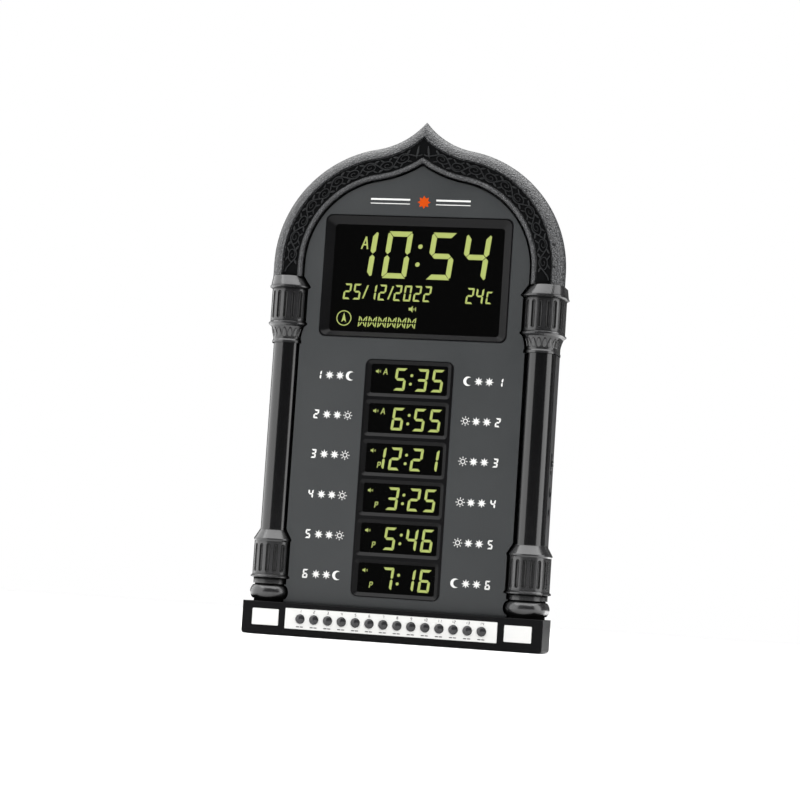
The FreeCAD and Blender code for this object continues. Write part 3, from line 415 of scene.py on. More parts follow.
def fade(tree, mask, value):
    """A value that falls to nothing where the mask is full, so no sheen shows inside the painted shade."""
    return map_range(tree, mask, To_Min=value, To_Max=0.0)


def roughen(tree, shader, surface, low, high):
    """Spreads the smudges of a surface over the roughness from low to high."""
    limits = {"From_Min": NOISE_LOW, "From_Max": NOISE_HIGH, "To_Min": low, "To_Max": high}
    feed(tree, shader, Roughness=map_range(tree, surface.outputs["Smudge"], **limits))


def add_bump(tree, shader, height, distance, strength=1.0):
    bump = feed(tree, tree.nodes.new("ShaderNodeBump"), Distance=distance, Strength=strength, Height=height)
    feed(tree, shader, Normal=bump.outputs["Normal"])


def shade(colour, factor):
    return tuple(min(1.0, part * factor) for part in colour)


def blank_material(name):
    material = bpy.data.materials.new(name)
    material.use_nodes = True
    return material, material.node_tree, material.node_tree.nodes["Principled BSDF"]


def plastic(
    name, colour, roughness,
    grain=0.0005, depth=0.00002, mottle=0.08,
    coat=0.0, specular=0.5,
    recess=0.0, closed=0.35, reach=0.0035,
):
    """Moulded plastic: fine grain, faint mottle, smudges that change the gloss, and painted shade in
    recesses.

    Grain is the size of the grain and depth its height, and reach is the width of a groove that
    counts as a recess, all in metres. Recess is how much of the light a full groove takes away.
    """
    material, tree, shader = blank_material(name)
    surface = place_surface(tree, "Moulded grain", Grain_Size=grain)
    low, high = shade(colour, 1 - mottle), shade(colour, 1 + mottle)
    colours = mix_colour(tree, surface.outputs["Mottle"], low, high)
    if recess:
        colours, mask = paint_crevice_shade(tree, colours, reach, recess, closed)
        specular, coat = fade(tree, mask, specular), fade(tree, mask, coat)
    feed(tree, shader, Base_Color=colours, Specular_IOR_Level=specular, Coat_Weight=coat, Coat_Roughness=0.08)
    roughen(tree, shader, surface, roughness * 0.88, roughness * 1.12)
    add_bump(tree, shader, surface.outputs["Height"], depth)
    return material


def pebbled(name, colour, roughness, size, depth, recess):
    """Pebbled moulding with painted shade in the valleys between the pebbles and in recesses, and a painted
    highlight on the pebble tops.
    """
    material, tree, shader = blank_material(name)
    surface = place_surface(tree, "Pebbled moulding", Pebble_Size=size)
    # Painted highlight on the pebble tops and painted shade in the valleys between them
    colours = mix_colour(tree, surface.outputs["Valley"], shade(colour, 1.2), shade(colour, 0.3))
    colours, mask = paint_crevice_shade(tree, colours, 0.003, recess)
    feed(tree, shader, Base_Color=colours, Specular_IOR_Level=fade(tree, mask, 0.5))
    grain = place_surface(tree, "Moulded grain", Grain_Size=0.0004)
    roughen(tree, shader, grain, roughness * 0.9, roughness * 1.1)
    add_bump(tree, shader, surface.outputs["Height"], depth, 0.8)
    return material


def metal(name, colour, roughness):
    material, tree, shader = blank_material(name)
    surface = place_surface(tree, "Moulded grain", Grain_Size=0.0002)
    colours = mix_colour(tree, surface.outputs["Mottle"], shade(colour, 0.85), colour)
    feed(tree, shader, Base_Color=colours, Metallic=1.0)
    roughen(tree, shader, surface, roughness * 0.8, roughness * 1.3)
    add_bump(tree, shader, surface.outputs["Height"], 0.00001)
    return material


def clear_lens(name):
    """Clear acrylic over a display."""
    material, tree, shader = blank_material(name)
    surface = place_surface(tree, "Moulded grain", Grain_Size=0.002)
    colours = mix_colour(tree, surface.outputs["Mottle"], (0.93, 0.94, 0.93), (0.97, 0.98, 0.97))
    feed(tree, shader, Base_Color=colours, Specular_IOR_Level=0.12, Transmission_Weight=1.0, IOR=1.4)
    roughen(tree, shader, surface, 0.015, 0.04)
    return material


def lit_segments(name):
    display = settings("display")
    material, tree, shader = blank_material(name)
    surface = place_surface(tree, "Moulded grain", Grain_Size=0.0006)
    colours = mix_colour(tree, surface.outputs["Mottle"], shade(display.lit, 0.94), display.lit)
    feed(tree, shader, Emission_Color=colours, Emission_Strength=display.glow)
    feed(tree, shader, Base_Color=shade(display.lit, 0.2), Roughness=0.6)
    return material


# Mesh helpers: every piece is a closed mesh

def add_piece(name, label, material, slot, draw, *values, smooth=False):
    """Adds a piece that rides on the clock, with a mesh that a drawing function fills."""
    mesh = bmesh.new()
    draw(mesh, *values)
    piece = bpy.data.objects.new(name, to_mesh(label, mesh))
    bpy.context.scene.collection.objects.link(piece)
    piece.data.materials.append(material)
    for polygon in piece.data.polygons:
        polygon.use_smooth = smooth
    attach(piece, BODY)


def to_mesh(label, mesh):
    bmesh.ops.recalc_face_normals(mesh, faces=mesh.faces)
    data = bpy.data.meshes.new(label)
    mesh.to_mesh(data)
    mesh.free()
    return data


def on_circle(centre, radius, turn):
    return (centre[0] + radius * math.cos(turn), centre[1] + radius * math.sin(turn))


def disc_outline(centre, radius, steps=20):
    return [on_circle(centre, radius, math.tau * index / steps) for index in range(steps)]


def bar_outline(start, end, width):
    """A straight stroke between two points."""
    run = Vector((end[0] - start[0], end[1] - start[1])).normalized() * (width / 2)
    side = Vector((-run.y, run.x))
    return [
        (start[0] + side.x, start[1] + side.y),
        (start[0] - side.x, start[1] - side.y),
        (end[0] - side.x, end[1] - side.y),
        (end[0] + side.x, end[1] + side.y),
    ]


def skin(mesh, rows):
    """Joins a line of sections, each a closed row of vertices, and caps both ends."""
    count = len(rows[0])
    for here, there in zip(rows, rows[1:]):
        for index in range(count):
            after = (index + 1) % count
            mesh.faces.new((here[index], here[after], there[after], there[index]))
    mesh.faces.new(rows[0][::-1])
    mesh.faces.new(rows[-1])


def prism(mesh, outline, front, back):
    """A flat shape, given as points across and up, between two depths."""
    area = sum(a[0] * b[1] - b[0] * a[1] for a, b in zip(outline, outline[1:] + outline[:1]))
    points = outline if area > 0 else outline[::-1]
    skin(mesh, [[mesh.verts.new((x, depth, z)) for x, z in points] for depth in (front, back)])


def ring_prism(mesh, centre, outer, inner, front, back, steps=32):
    """A flat ring between two depths."""
    rows = []
    for radius, depth in ((outer, front), (outer, back), (inner, back), (inner, front)):
        circle = disc_outline(centre, radius, steps)
        rows.append([mesh.verts.new((x, depth, z)) for x, z in circle])
    for index in range(4):
        this, following = rows[index], rows[(index + 1) % 4]
        for step in range(steps):
            after = (step + 1) % steps
            mesh.faces.new((this[step], this[after], following[after], following[step]))


# Seven-segment figures

SEGMENTS = {
    "0": "abcdef", "1": "bc", "2": "abged", "3": "abgcd", "4": "fgbc", "5": "afgcd",
    "6": "afgedc", "7": "abc", "8": "abcdefg", "9": "abcdfg", "-": "g", "C": "afed", "P": "abefg",
}


def segment_outline(letter, width, height, stroke):
    """One mitred bar of a figure, about the figure's middle."""
    w = width / 2
    h = height / 2
    gap = stroke * 0.09
    half = stroke / 2
    if letter in "agd":
        level = {"a": h - half, "g": 0.0, "d": -h + half}[letter]
        left, right = -w + half + gap, w - half - gap
        if letter == "g":
            return [
                (left, 0.0), (left + half, half), (right - half, half),
                (right, 0.0), (right - half, -half), (left + half, -half),
            ]
        outer = half if letter == "a" else -half
        return [
            (left - half + gap, level + outer), (right + half - gap, level + outer),
            (right - half, level - outer), (left + half, level - outer),
        ]
    side = 1 if letter in "bc" else -1
    rise = 1 if letter in "fb" else -1
    outer_x, middle_x, inner_x = w, w - half, w - stroke
    upper_right = [
        (outer_x, h - half), (outer_x - half * 0.6, h - half * 0.5), (inner_x, h - stroke - gap),
        (inner_x, half + gap), (middle_x, gap), (outer_x, half + gap),
    ]
    return [(side * x, rise * z) for x, z in upper_right]


def leaning(x, z, points):
    """Moves points to a place and leans them with the figures of the displays."""
    lean = math.tan(settings("display").slant)
    return [(x + u + v * lean, z + v) for u, v in points]


def add_figure(mesh, sign, x, z, size, depth):
    """Draws one figure with its middle at x and z."""
    for letter in SEGMENTS.get(sign, ""):
        prism(mesh, leaning(x, z, segment_outline(letter, *size)), *depth)


def add_bars(mesh, x, z, bars, stroke, depth):
    """Draws straight strokes between pairs of points, leaning with the figures."""
    for start, end in bars:
        prism(mesh, leaning(x, z, bar_outline(start, end, stroke)), *depth)


def add_letter_a(mesh, x, z, size, depth):
    w, h, stroke = size[0] / 2, size[1] / 2, size[2]
    bars = (((-w, -h), (0.0, h)), ((0.0, h), (w, -h)), ((-w * 0.6, -h * 0.3), (w * 0.6, -h * 0.3)))
    add_bars(mesh, x, z, bars, stroke, depth)


def add_starburst(mesh, x, z, size, depth):
    """A cell of a starburst display with its upright and slanting bars lit."""
    w, h, stroke = size[0] / 2, size[1] / 2, size[2]
    corners = [(side, end) for side in (-1, 1) for end in (-1, 1)]
    bars = [((side * w, end * h * 0.12), (side * w, end * h)) for side, end in corners]
    bars += [((side * w * 0.2, end * h * 0.15), (side * w * 0.7, end * h * 0.8)) for side, end in corners]
    add_bars(mesh, x, z, bars, stroke, depth)


def add_colon(mesh, x, z, height, dot, depth):
    for rise in (height * 0.19, -height * 0.19):
        prism(mesh, leaning(x, z, disc_outline((0.0, rise), dot / 2)), *depth)


def display_depth(lens):
    """Just inside the back of the lens, in front of the display cell."""
    back = lens[1].y
    return (back - FIGURE_FRONT, back - FIGURE_BACK)


def add_speaker_icon(mesh, x, z, size, depth):
    body = [(-0.5, -0.2), (-0.5, 0.2), (-0.2, 0.2), (0.1, 0.5), (0.1, -0.5), (-0.2, -0.2)]
    prism(mesh, [(x + u * size, z + v * size) for u, v in body], *depth)
    for reach in (0.3, 0.55):
        wave_x, half = x + reach * size, 0.5 * reach * size
        prism(mesh, bar_outline((wave_x, z - half), (wave_x, z + half), 0.1 * size), *depth)


# Line of the carved band, from its foot to the point of the arch

def band_path(inset, step):
    """Points along the right half of the arch at an inset from its outer edge."""
    arch = settings("arch")
    shoulder_x = arch.half_width - arch.radius
    rise = arch.tip - arch.spring
    reach = math.hypot(shoulder_x, rise)
    apart = arch.radius + arch.reverse
    along = (apart ** 2 - arch.reverse ** 2 + reach ** 2) / (2 * reach)
    across = math.sqrt(apart ** 2 - along ** 2)
    reverse_x = shoulder_x + (-along * shoulder_x + across * rise) / reach
    reverse_z = arch.spring + (along * rise + across * shoulder_x) / reach
    touch = math.atan2(reverse_z - arch.spring, reverse_x - shoulder_x)
    radius = arch.radius - inset
    reverse_radius = arch.reverse + inset
    tip_angle = math.pi + math.atan2(math.sqrt(reverse_radius ** 2 - reverse_x ** 2), reverse_x)
    points = []
    upright = arch.spring - arch.foot
    count = max(2, round(upright / step))
    for index in range(count):
        points.append((arch.half_width - inset, arch.foot + upright * index / count))
    count = round(radius * touch / step)
    for index in range(count):
        points.append(on_circle((shoulder_x, arch.spring), radius, touch * index / count))
    sweep = touch + math.pi - tip_angle
    count = round(reverse_radius * sweep / step)
    for index in range(count + 1):
        turn = touch + math.pi - sweep * index / count
        points.append(on_circle((reverse_x, reverse_z), reverse_radius, turn))
    return points


class Band:
    """Places points by the distance along the band and the distance across it."""

    def __init__(self, points, side):
        self.points = [Vector((side * x, z)) for x, z in points]
        self.side = side
        self.stations = [0.0]
        for start, end in zip(self.points, self.points[1:]):
            self.stations.append(self.stations[-1] + (end - start).length)
        self.length = self.stations[-1]

    def place(self, along, across):
        along = min(max(along, 0.0), self.length - 1e-9)
        index = 0
        while self.stations[index + 1] < along:
            index += 1
        start, end = self.points[index], self.points[index + 1]
        share = (along - self.stations[index]) / (self.stations[index + 1] - self.stations[index])
        run = (end - start).normalized()
        outward = Vector((run.y, -run.x)) * self.side
        return start + (end - start) * share + outward * across


def add_strand(mesh, points, widths, floor, height):
    """A raised strand with sloping sides along a line, with its own width at every point."""
    rows = []
    count = len(points)
    for index, point in enumerate(points):
        before = points[max(index - 1, 0)]
        after = points[min(index + 1, count - 1)]
        run = (after - before).normalized()
        side = Vector((-run.y, run.x)) * (widths[index] / 2)
        top = side * STRAND_TOP
        rise = floor - height * min(1.0, widths[index] / max(widths) + 0.3)
        row = []
        for offset, depth in ((-side, floor), (-top, rise), (top, rise), (side, floor)):
            row.append(mesh.verts.new((point.x + offset.x, depth, point.y + offset.y)))
        rows.append(row)
    skin(mesh, rows)


def blend(pair, share):
    return pair[0] + (pair[1] - pair[0]) * share


def add_leaf(mesh, band, start, end, width, floor, height, steps=8):
    """A pointed leaf between two places on the band, each given along it and across it."""
    line = []
    widths = []
    for index in range(steps + 1):
        share = index / steps
        line.append(band.place(*(blend(pair, share) for pair in zip(start, end))))
        widths.append((0.15 + 0.85 * math.sin(math.pi * share)) * width)
    add_strand(mesh, line, widths, floor, height)


def add_tendril(mesh, band, middle, side, pitch, floor, height):
    """A strand that curls in round the middle of a bend."""
    line = []
    widths = []
    for index in range(TENDRIL_STEPS + 1):
        share = index / TENDRIL_STEPS
        turn = math.pi + TENDRIL_SWEEP * share
        radius = pitch * blend(TENDRIL_RADII, share)
        across = side * (TENDRIL_SHIFT * MM + TENDRIL_FLATNESS * radius * math.sin(turn))
        line.append(band.place(middle + radius * math.cos(turn), across))
        widths.append(blend(TENDRIL_WIDTHS, share) * MM)
    add_strand(mesh, line, widths, floor, height)


def add_carving(mesh, side):
    """A winding vine on one half of the arch, with a curled tendril and leaves in every bend."""
    arch = settings("arch")
    band = Band(band_path(arch.band, BAND_STEP * MM), side)
    first, last = FOOT_GAP * MM, band.length - POINT_GAP * MM
    floor = PANEL_Y - arch.floor + SINK
    swing = arch.band_width * VINE_SWING
    bends = max(2, round((last - first) / arch.scroll))
    pitch = (last - first) / bends
    vine = []
    for index in range(bends * VINE_STEPS + 1):
        bend = index / VINE_STEPS
        vine.append(band.place(first + pitch * bend, swing * math.cos(math.pi * bend)))
    add_strand(mesh, vine, [VINE_WIDTH * MM] * len(vine), floor, arch.relief)
    for bend in range(1, bends):
        middle = first + pitch * bend
        hand = -1 if bend % 2 else 1
        add_tendril(mesh, band, middle, hand, pitch, floor, arch.relief * TENDRIL_RELIEF)
        for flank in (-1, 1):
            for root, tip, width, share in BEND_LEAVES:
                ends = [(middle + flank * pitch * u, hand * swing * v) for u, v in (root, tip)]
                add_leaf(mesh, band, *ends, width * MM, floor, arch.relief * share)
    root, tip, width = POINT_LEAF
    ends = [(last + u * MM, swing * v) for u, v in (root, tip)]
    add_leaf(mesh, band, *ends, width * MM, floor, arch.relief)


def add_carved_floor_shade(mesh):
    """A sheet of painted shade over the floor of the sunk band, from one foot of the arch over the point to
    the other.
    """
    arch = settings("arch")
    edges = []
    for inset in (arch.band - arch.band_width / 2, arch.band + arch.band_width / 2):
        half = band_path(inset, FLOOR_STEP * MM)
        edges.append(half + [(-x, z) for x, z in half[-2::-1]])
    count = min(len(edge) for edge in edges)
    level = PANEL_Y - arch.floor
    front, back = level - FLOOR_OUT * MM, level + FLOOR_IN * MM
    rows = []
    for index in range(count):
        outer, inner = (edge[round(index * (len(edge) - 1) / (count - 1))] for edge in edges)
        corners = ((outer, front), (inner, front), (inner, back), (outer, back))
        rows.append([mesh.verts.new((x, depth, z)) for (x, z), depth in corners])
    skin(mesh, rows)


def bell_radius(share):
    """Radius of the bell of a capital at a share of its height."""
    return (BELL_LOW_RADIUS + BELL_FLARE * share - BELL_HOLLOW * share * (1.0 - share)) * MM


def add_bell_leaf(mesh, axis, heading, steps=8):
    """A pointed leaf with a raised rib on the bell of a capital, whose axis is given across and deep."""

    def spot(reach, turn, z):
        return mesh.verts.new((axis[0] + reach * math.sin(turn), axis[1] - reach * math.cos(turn), z))

    rows = []
    for index in range(1, steps):
        share = index / steps
        half = BELL_LEAF_HALF_WIDTH * MM * math.sin(math.pi * share ** 0.8)
        z = blend((BELL_LOW_Z, BELL_TOP_Z), share) * MM
        radius = bell_radius(share)
        row = []
        for across, lift in BELL_LEAF_SECTION:
            reach = radius + lift * math.sin(math.pi * share) * MM
            row.append(spot(reach, heading + across * half / radius, z))
        row.append(spot(radius - BELL_LEAF_ROOT * MM, heading, z))
        rows.append(row)
    skin(mesh, rows)


def add_bell_leaves(mesh, side):
    """Leaves all round the front of the bell of one capital."""
    axis = (side * (settings("arch").half_width - BELL_INSET * MM), PANEL_Y + BELL_DEPTH * MM)
    for index in range(BELL_LEAF_COUNT):
        add_bell_leaf(mesh, axis, (index - (BELL_LEAF_COUNT - 1) / 2) * BELL_LEAF_TURN)


# Figures and icons of the displays

def draw_time(mesh, display, depth):
    size = (display.digit_width, display.digit_height, display.digit_stroke)
    for sign, x in zip(display.time.replace(":", ""), TIME_X):
        add_figure(mesh, sign, x * MM, display.middle, size, depth)
    add_colon(mesh, TIME_COLON_X * MM, display.middle, display.digit_height, TIME_DOT * MM, depth)


def draw_date(mesh, display, depth):
    """The date, the temperature with its letter, and the letter of the morning."""
    size = in_mm(DATE_FIGURE)
    x = DATE_LEFT
    for sign in display.date:
        if sign == "/":
            slash = [in_mm((x + u + v * SLASH_LEAN - SLASH_SHIFT, DATE_Z + v)) for u, v in SLASH_CORNERS]
            prism(mesh, slash, *depth)
            x += SLASH_PITCH
        else:
            add_figure(mesh, sign, x * MM, DATE_Z * MM, size, depth)
            x += DATE_PITCH
    for index, sign in enumerate(display.warmth):
        add_figure(mesh, sign, (WARMTH_LEFT + WARMTH_PITCH * index) * MM, WARMTH_Z * MM, size, depth)
    x, z, size = DEGREE_LETTER
    add_figure(mesh, "C", x * MM, z * MM, in_mm(size), depth)
    x, z, size = MORNING_LETTER
    add_letter_a(mesh, x * MM, z * MM, in_mm(size), depth)


def draw_icons(mesh, depth):
    """A compass, a row of lit cells and a loudspeaker."""
    ring_prism(mesh, in_mm(COMPASS), *in_mm(COMPASS_RADII), *depth)
    prism(mesh, [in_mm((COMPASS[0] + u, COMPASS[1] + v)) for u, v in COMPASS_NEEDLE], *depth)
    for index in range(CELL_COUNT):
        add_starburst(mesh, (CELL_LEFT + CELL_PITCH * index) * MM, CELL_Z * MM, in_mm(CELL_FIGURE), depth)
    add_speaker_icon(mesh, *in_mm(SPEAKER_ICON), depth)


def draw_small_time(mesh, display, depth, row, text):
    """One small time, set from the right, with a loudspeaker and the letter of its half of the day."""
    size = (display.small_width, display.small_height, display.small_stroke)
    middle = display.window_low + (len(MARK_LEVELS) - 1 - row) * display.window_pitch
    x = SMALL_RIGHT
    for sign in reversed(text):
        if sign == ":":
            add_colon(mesh, (x + SMALL_COLON_SHIFT) * MM, middle, display.small_height, SMALL_DOT * MM, depth)
            x -= SMALL_COLON_PITCH
        else:
            add_figure(mesh, sign, x * MM, middle, size, depth)
            x -= SMALL_PITCH
    x, z, size = in_mm(SMALL_SPEAKER)
    add_speaker_icon(mesh, x, middle + z, size, depth)
    if row < MORNING_ROWS:
        x, z, size = SMALL_MORNING
        add_letter_a(mesh, x * MM, middle + z * MM, in_mm(size), depth)
    else:
        x, z, size = SMALL_EVENING
        add_figure(mesh, "P", x * MM, middle + z * MM, in_mm(size), depth)


# Printed marks and screw recesses

def add_star(mesh, centre, outer, inner, depth, points=8):
    outline = []
    for index in range(2 * points):
        radius = inner if index % 2 else outer
        outline.append(on_circle(centre, radius, math.pi / 2 + math.pi * index / points))
    prism(mesh, outline, *depth)


def add_sun(mesh, centre, radius, depth, rays=8):
    ring_prism(mesh, centre, radius * 0.52, radius * 0.36, *depth, steps=24)
    for index in range(rays):
        turn = math.tau * index / rays
        start, end = on_circle(centre, radius * 0.66, turn), on_circle(centre, radius, turn)
        prism(mesh, bar_outline(start, end, radius * 0.14), *depth)


def add_moon(mesh, centre, radius, depth, steps=14):
    """A crescent between a circle and a smaller one set to its right."""
    hollow = (centre[0] + radius * 0.42, centre[1])
    turns = [math.radians(50 + 260 * index / steps) for index in range(steps + 1)]
    outline = [on_circle(centre, radius, turn) for turn in turns]
    outline += [on_circle(hollow, radius * 0.8, turn) for turn in turns[-2:0:-1]]
    prism(mesh, outline, *depth)


def mark_rows(mesh, depth):
    """Beside each small display, on both sides: a sun or a moon, two stars and the row's number."""
    for row, level in enumerate(MARK_LEVELS):
        z = level * MM
        icon = add_moon if row in MOON_ROWS else add_sun
        for side in (-1, 1):
            icon(mesh, (side * MARK_ICON_X * MM, z), MARK_ICON_RADIUS * MM, depth)
            add_figure(mesh, str(row + 1), side * MARK_FIGURE_X * MM, z, in_mm(MARK_FIGURE), depth)
            for x in MARK_STAR_X:
                add_star(mesh, (side * x * MM, z), *in_mm(MARK_STAR_RADII), depth)


def mark_star(mesh, depth):
    add_star(mesh, in_mm(TOP_STAR), *in_mm(TOP_STAR_RADII), depth)


def mark_rules(mesh, depth):
    for start, end in RULE_SPANS:
        for z, width in RULE_LEVELS:
            prism(mesh, bar_outline(in_mm((start, z)), in_mm((end, z)), width * MM), *depth)


def mark_buttons(mesh, depth):
    """A number over each button and two dashes under it."""
    for index in range(BUTTON_COUNT):
        x = (index - (BUTTON_COUNT - 1) / 2) * BUTTON_PITCH
        number = str(index + 1)
        for order, sign in enumerate(number):
            shift = (order - (len(number) - 1) / 2) * BUTTON_FIGURE_PITCH
            add_figure(mesh, sign, (x + shift) * MM, BUTTON_FIGURE_Z * MM, in_mm(BUTTON_FIGURE), depth)
        for start, end in DASH_SPANS:
            dash = bar_outline(in_mm((x + start, DASH_Z)), in_mm((x + end, DASH_Z)), DASH_WIDTH * MM)
            prism(mesh, dash, *depth)


def add_crosses(mesh):
    """A dark cross of painted shade on every screw head of the back where its recess is, with its middle
    found from the head's rim.
    """
    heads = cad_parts["cover_screws"].data
    back = max(vertex.co.y for vertex in heads.vertices)
    rim = [vertex.co for vertex in heads.vertices if vertex.co.y > back - HEAD_RIM * MM]
    firsts = []
    for point in rim:
        if not any((point - first).length < HEAD_SPREAD * MM for first in firsts):
            firsts.append(point)
    for first in firsts:
        near = [point for point in rim if (point - first).length < HEAD_SPREAD * MM]
        x = (min(point.x for point in near) + max(point.x for point in near)) / 2
        z = (min(point.z for point in near) + max(point.z for point in near)) / 2
        cross = []
        for quarter in range(4):
            turn = Matrix.Rotation(math.pi / 2 * quarter + CROSS_TURN, 2)
            cross += [Vector((x, z)) + turn @ Vector(in_mm(corner)) for corner in CROSS_ARM]
        prism(mesh, cross, back - SINK, back + THIN_OUT)


# Operators

def paint(nodes, material):
    for name in nodes:
        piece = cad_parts[name]
        if not piece.material_slots:
            piece.data.materials.append(material)
        for material_slot in piece.material_slots:
            material_slot.material = material


class ARCHCLOCK_OT_finishes(bpy.types.Operator):
    """Gives every solid of the clock its finish"""
    bl_idname = "arch_clock.finishes"
    bl_label = "Finishes"

    def execute(self, context):
        finish = settings("finish")
        grain_group()
        pebble_group()
        crevice_shade_group()
        housing = shade(finish.turned, 1.25)
        # Recess paints shade into the grooves and corners of the panel, the flutes of the capitals and
        # pedestals, and the hollows round the buttons.
        slate = {"depth": 0.00004, "mottle": 0.05, "specular": 0.35, "recess": 0.6}
        satin = {"depth": 0.00004, "coat": 0.35, "recess": 1.0, "closed": 0.84, "reach": 0.006}
        buttons = ["button_%02d" % (index + 1) for index in range(BUTTON_COUNT)]
        controls = ["volume_wheel", "volume_control", "slide_switch_body", "slide_switch_knob", "dc_jack"]
        turned = [side + part for part in ("_capital", "_pedestal") for side, _ in SIDES]
        shafts = [side + "_column_shaft" for side, _ in SIDES]
        paint(["front_case", "rear_cover"], plastic("Housing grey", housing, 0.5, 0.0006, 0.00005))
        paint(["face_panel"], plastic("Panel slate", finish.panel, 0.45, **slate))
        paint(["arch_moulding"], pebbled("Arch pebble", finish.moulding, 0.3, 0.0020, 0.00045, 0.85))
        paint(turned, plastic("Turned satin", finish.turned, 0.24, **satin))
        paint(shafts, plastic("Shaft gloss", finish.gloss, 0.16, depth=0.000003, coat=0.15))
        frames = plastic("Frame black", finish.gloss, 0.32, depth=0.000006, specular=0.13)
        paint(["main_bezel", "times_bezel"], frames)
        paint(["base_housing"], plastic("Plinth satin", finish.plinth, 0.45, depth=0.00003, specular=0.1))
        white = plastic("Strip white", finish.white, 0.34, depth=0.00001, mottle=0.02)
        paint(["button_strip", "right_plate", "left_plate"], white)
        paint(buttons, plastic("Button grey", finish.button, 0.2, recess=0.7))
        paint(["main_lens", "times_lens"], clear_lens("Lens"))
        cells = plastic("Display cell", srgb(8, 9, 8), 0.4, depth=0.000003, specular=0.1)
        paint(["main_lcd", "times_lcds"], cells)
        paint(["main_backlight", "times_backlights"], plastic("Light guide", srgb(222, 224, 214), 0.4))
        laminate = plastic("Board laminate", srgb(24, 84, 48), 0.35, grain=0.0012, depth=0.00003, mottle=0.15)
        paint(["main_board", "times_board", "button_board"], laminate)
        paint(["board_components", "tact_switches"], plastic("Component black", srgb(30, 30, 32), 0.45))
        paint(["lcd_connectors"], plastic("Connector rubber", srgb(196, 190, 176), 0.6))
        paint(["board_screws", "cover_screws"], metal("Screw steel", srgb(168, 168, 170), 0.32))
        paint(["speaker_basket"], metal("Basket steel", srgb(150, 152, 156), 0.38))
        paint(["speaker_cone"], plastic("Cone paper", srgb(34, 33, 32), 0.85, grain=0.0008, depth=0.00012))
        paint(["speaker_magnet"], plastic("Magnet ferrite", srgb(52, 50, 50), 0.55))
        paint(["battery_box", "battery_door"], plastic("Bay grey", housing, 0.48, 0.0006, 0.00004))
        paint(["battery_cells"], plastic("Cell sleeve", srgb(40, 62, 92), 0.28, mottle=0.1))
        paint(["battery_contacts"], metal("Contact nickel", srgb(196, 192, 184), 0.25))
        paint(controls, plastic("Control black", srgb(24, 24, 25), 0.42))
        return {"FINISHED"}


class ARCHCLOCK_OT_carving(bpy.types.Operator):
    """Carves the vine in the sunk band of the arch and the leaves on the capitals"""
    bl_idname = "arch_clock.carving"
    bl_label = "Arch carving"

    def execute(self, context):
        finish = settings("finish")
        # Recess paints shade into the hollows round the vine and the leaves.
        carved = plastic("Carved relief", finish.carved, 0.4, depth=0.00002, specular=0.3, recess=0.5)
        leafy = plastic("Bell leaf", shade(finish.turned, 1.1), 0.24, depth=0.00004, coat=0.35, recess=0.8)
        # The floor of the sunk band is a near-black sheet of painted shade.
        deep = shade(finish.carved, 0.24)
        floor = plastic("Carved floor", deep, 0.85, grain=0.0003, depth=0.00008, specular=0.02)
        for label, side in SIDES:
            add_piece(label + "_arch_carving", "Carving", carved, "arch", add_carving, side)
        for label, side in SIDES:
            add_piece(label + "_bell_leaves", "Leaves", leafy, "capital", add_bell_leaves, side, smooth=True)
        add_piece("arch_carving_floor", "Carved floor", floor, "arch", add_carved_floor_shade)
        return {"FINISHED"}


class ARCHCLOCK_OT_displays(bpy.types.Operator):
    """Lights the figures of the main display and of the small displays"""
    bl_idname = "arch_clock.displays"
    bl_label = "Displays"

    def execute(self, context):
        display = settings("display")
        lit = lit_segments("Lit segments")
        depth = display_depth(SCREEN)
        add_piece("main_time_figures", "Figures", lit, "lcd", draw_time, display, depth)
        add_piece("main_date_figures", "Date", lit, "lcd", draw_date, display, depth)
        add_piece("main_icons", "Icons", lit, "lcd", draw_icons, depth)
        depth = display_depth(SMALL_LENS)
        for row, text in enumerate(display.times.split()):
            name = "small_time_figures_%d" % (row + 1)
            add_piece(name, "Small figures", lit, "lcd", draw_small_time, display, depth, row, text)
        return {"FINISHED"}


class ARCHCLOCK_OT_marks(bpy.types.Operator):
    """Prints the marks on the panel and round the buttons"""
    bl_idname = "arch_clock.marks"
    bl_label = "Printed marks"

    def execute(self, context):
        white = plastic("Print white", settings("finish").white, 0.5, depth=0.000004, mottle=0.03)
        orange = plastic("Print orange", srgb(174, 62, 2), 0.5, depth=0.000004, mottle=0.05, specular=0.1)
        ink = plastic("Print ink", srgb(40, 40, 42), 0.5, depth=0.000004)
        depth = (PANEL_Y - PRINT_OUT, PANEL_Y + SINK)
        add_piece("panel_marks", "Panel marks", white, "white_trim", mark_rows, depth)
        add_piece("panel_star", "Star", orange, "white_trim", mark_star, depth)
        add_piece("panel_rules", "Rules", white, "white_trim", mark_rules, depth)
        depth = (STRIP[0].y - THIN_OUT, STRIP[0].y + SINK)
        add_piece("strip_marks", "Strip marks", ink, "button", mark_buttons, depth)
        return {"FINISHED"}


class ARCHCLOCK_OT_screws(bpy.types.Operator):
    """Lays dark crosses of painted shade for the cross recesses on the screw heads on the back"""
    bl_idname = "arch_clock.screws"
    bl_label = "Screw recesses"

    def execute(self, context):
        recess_shade = metal("Recess steel", srgb(40, 40, 42), 0.5)
        add_piece("cover_screw_recesses", "Recesses", recess_shade, "steel", add_crosses)
        return {"FINISHED"}


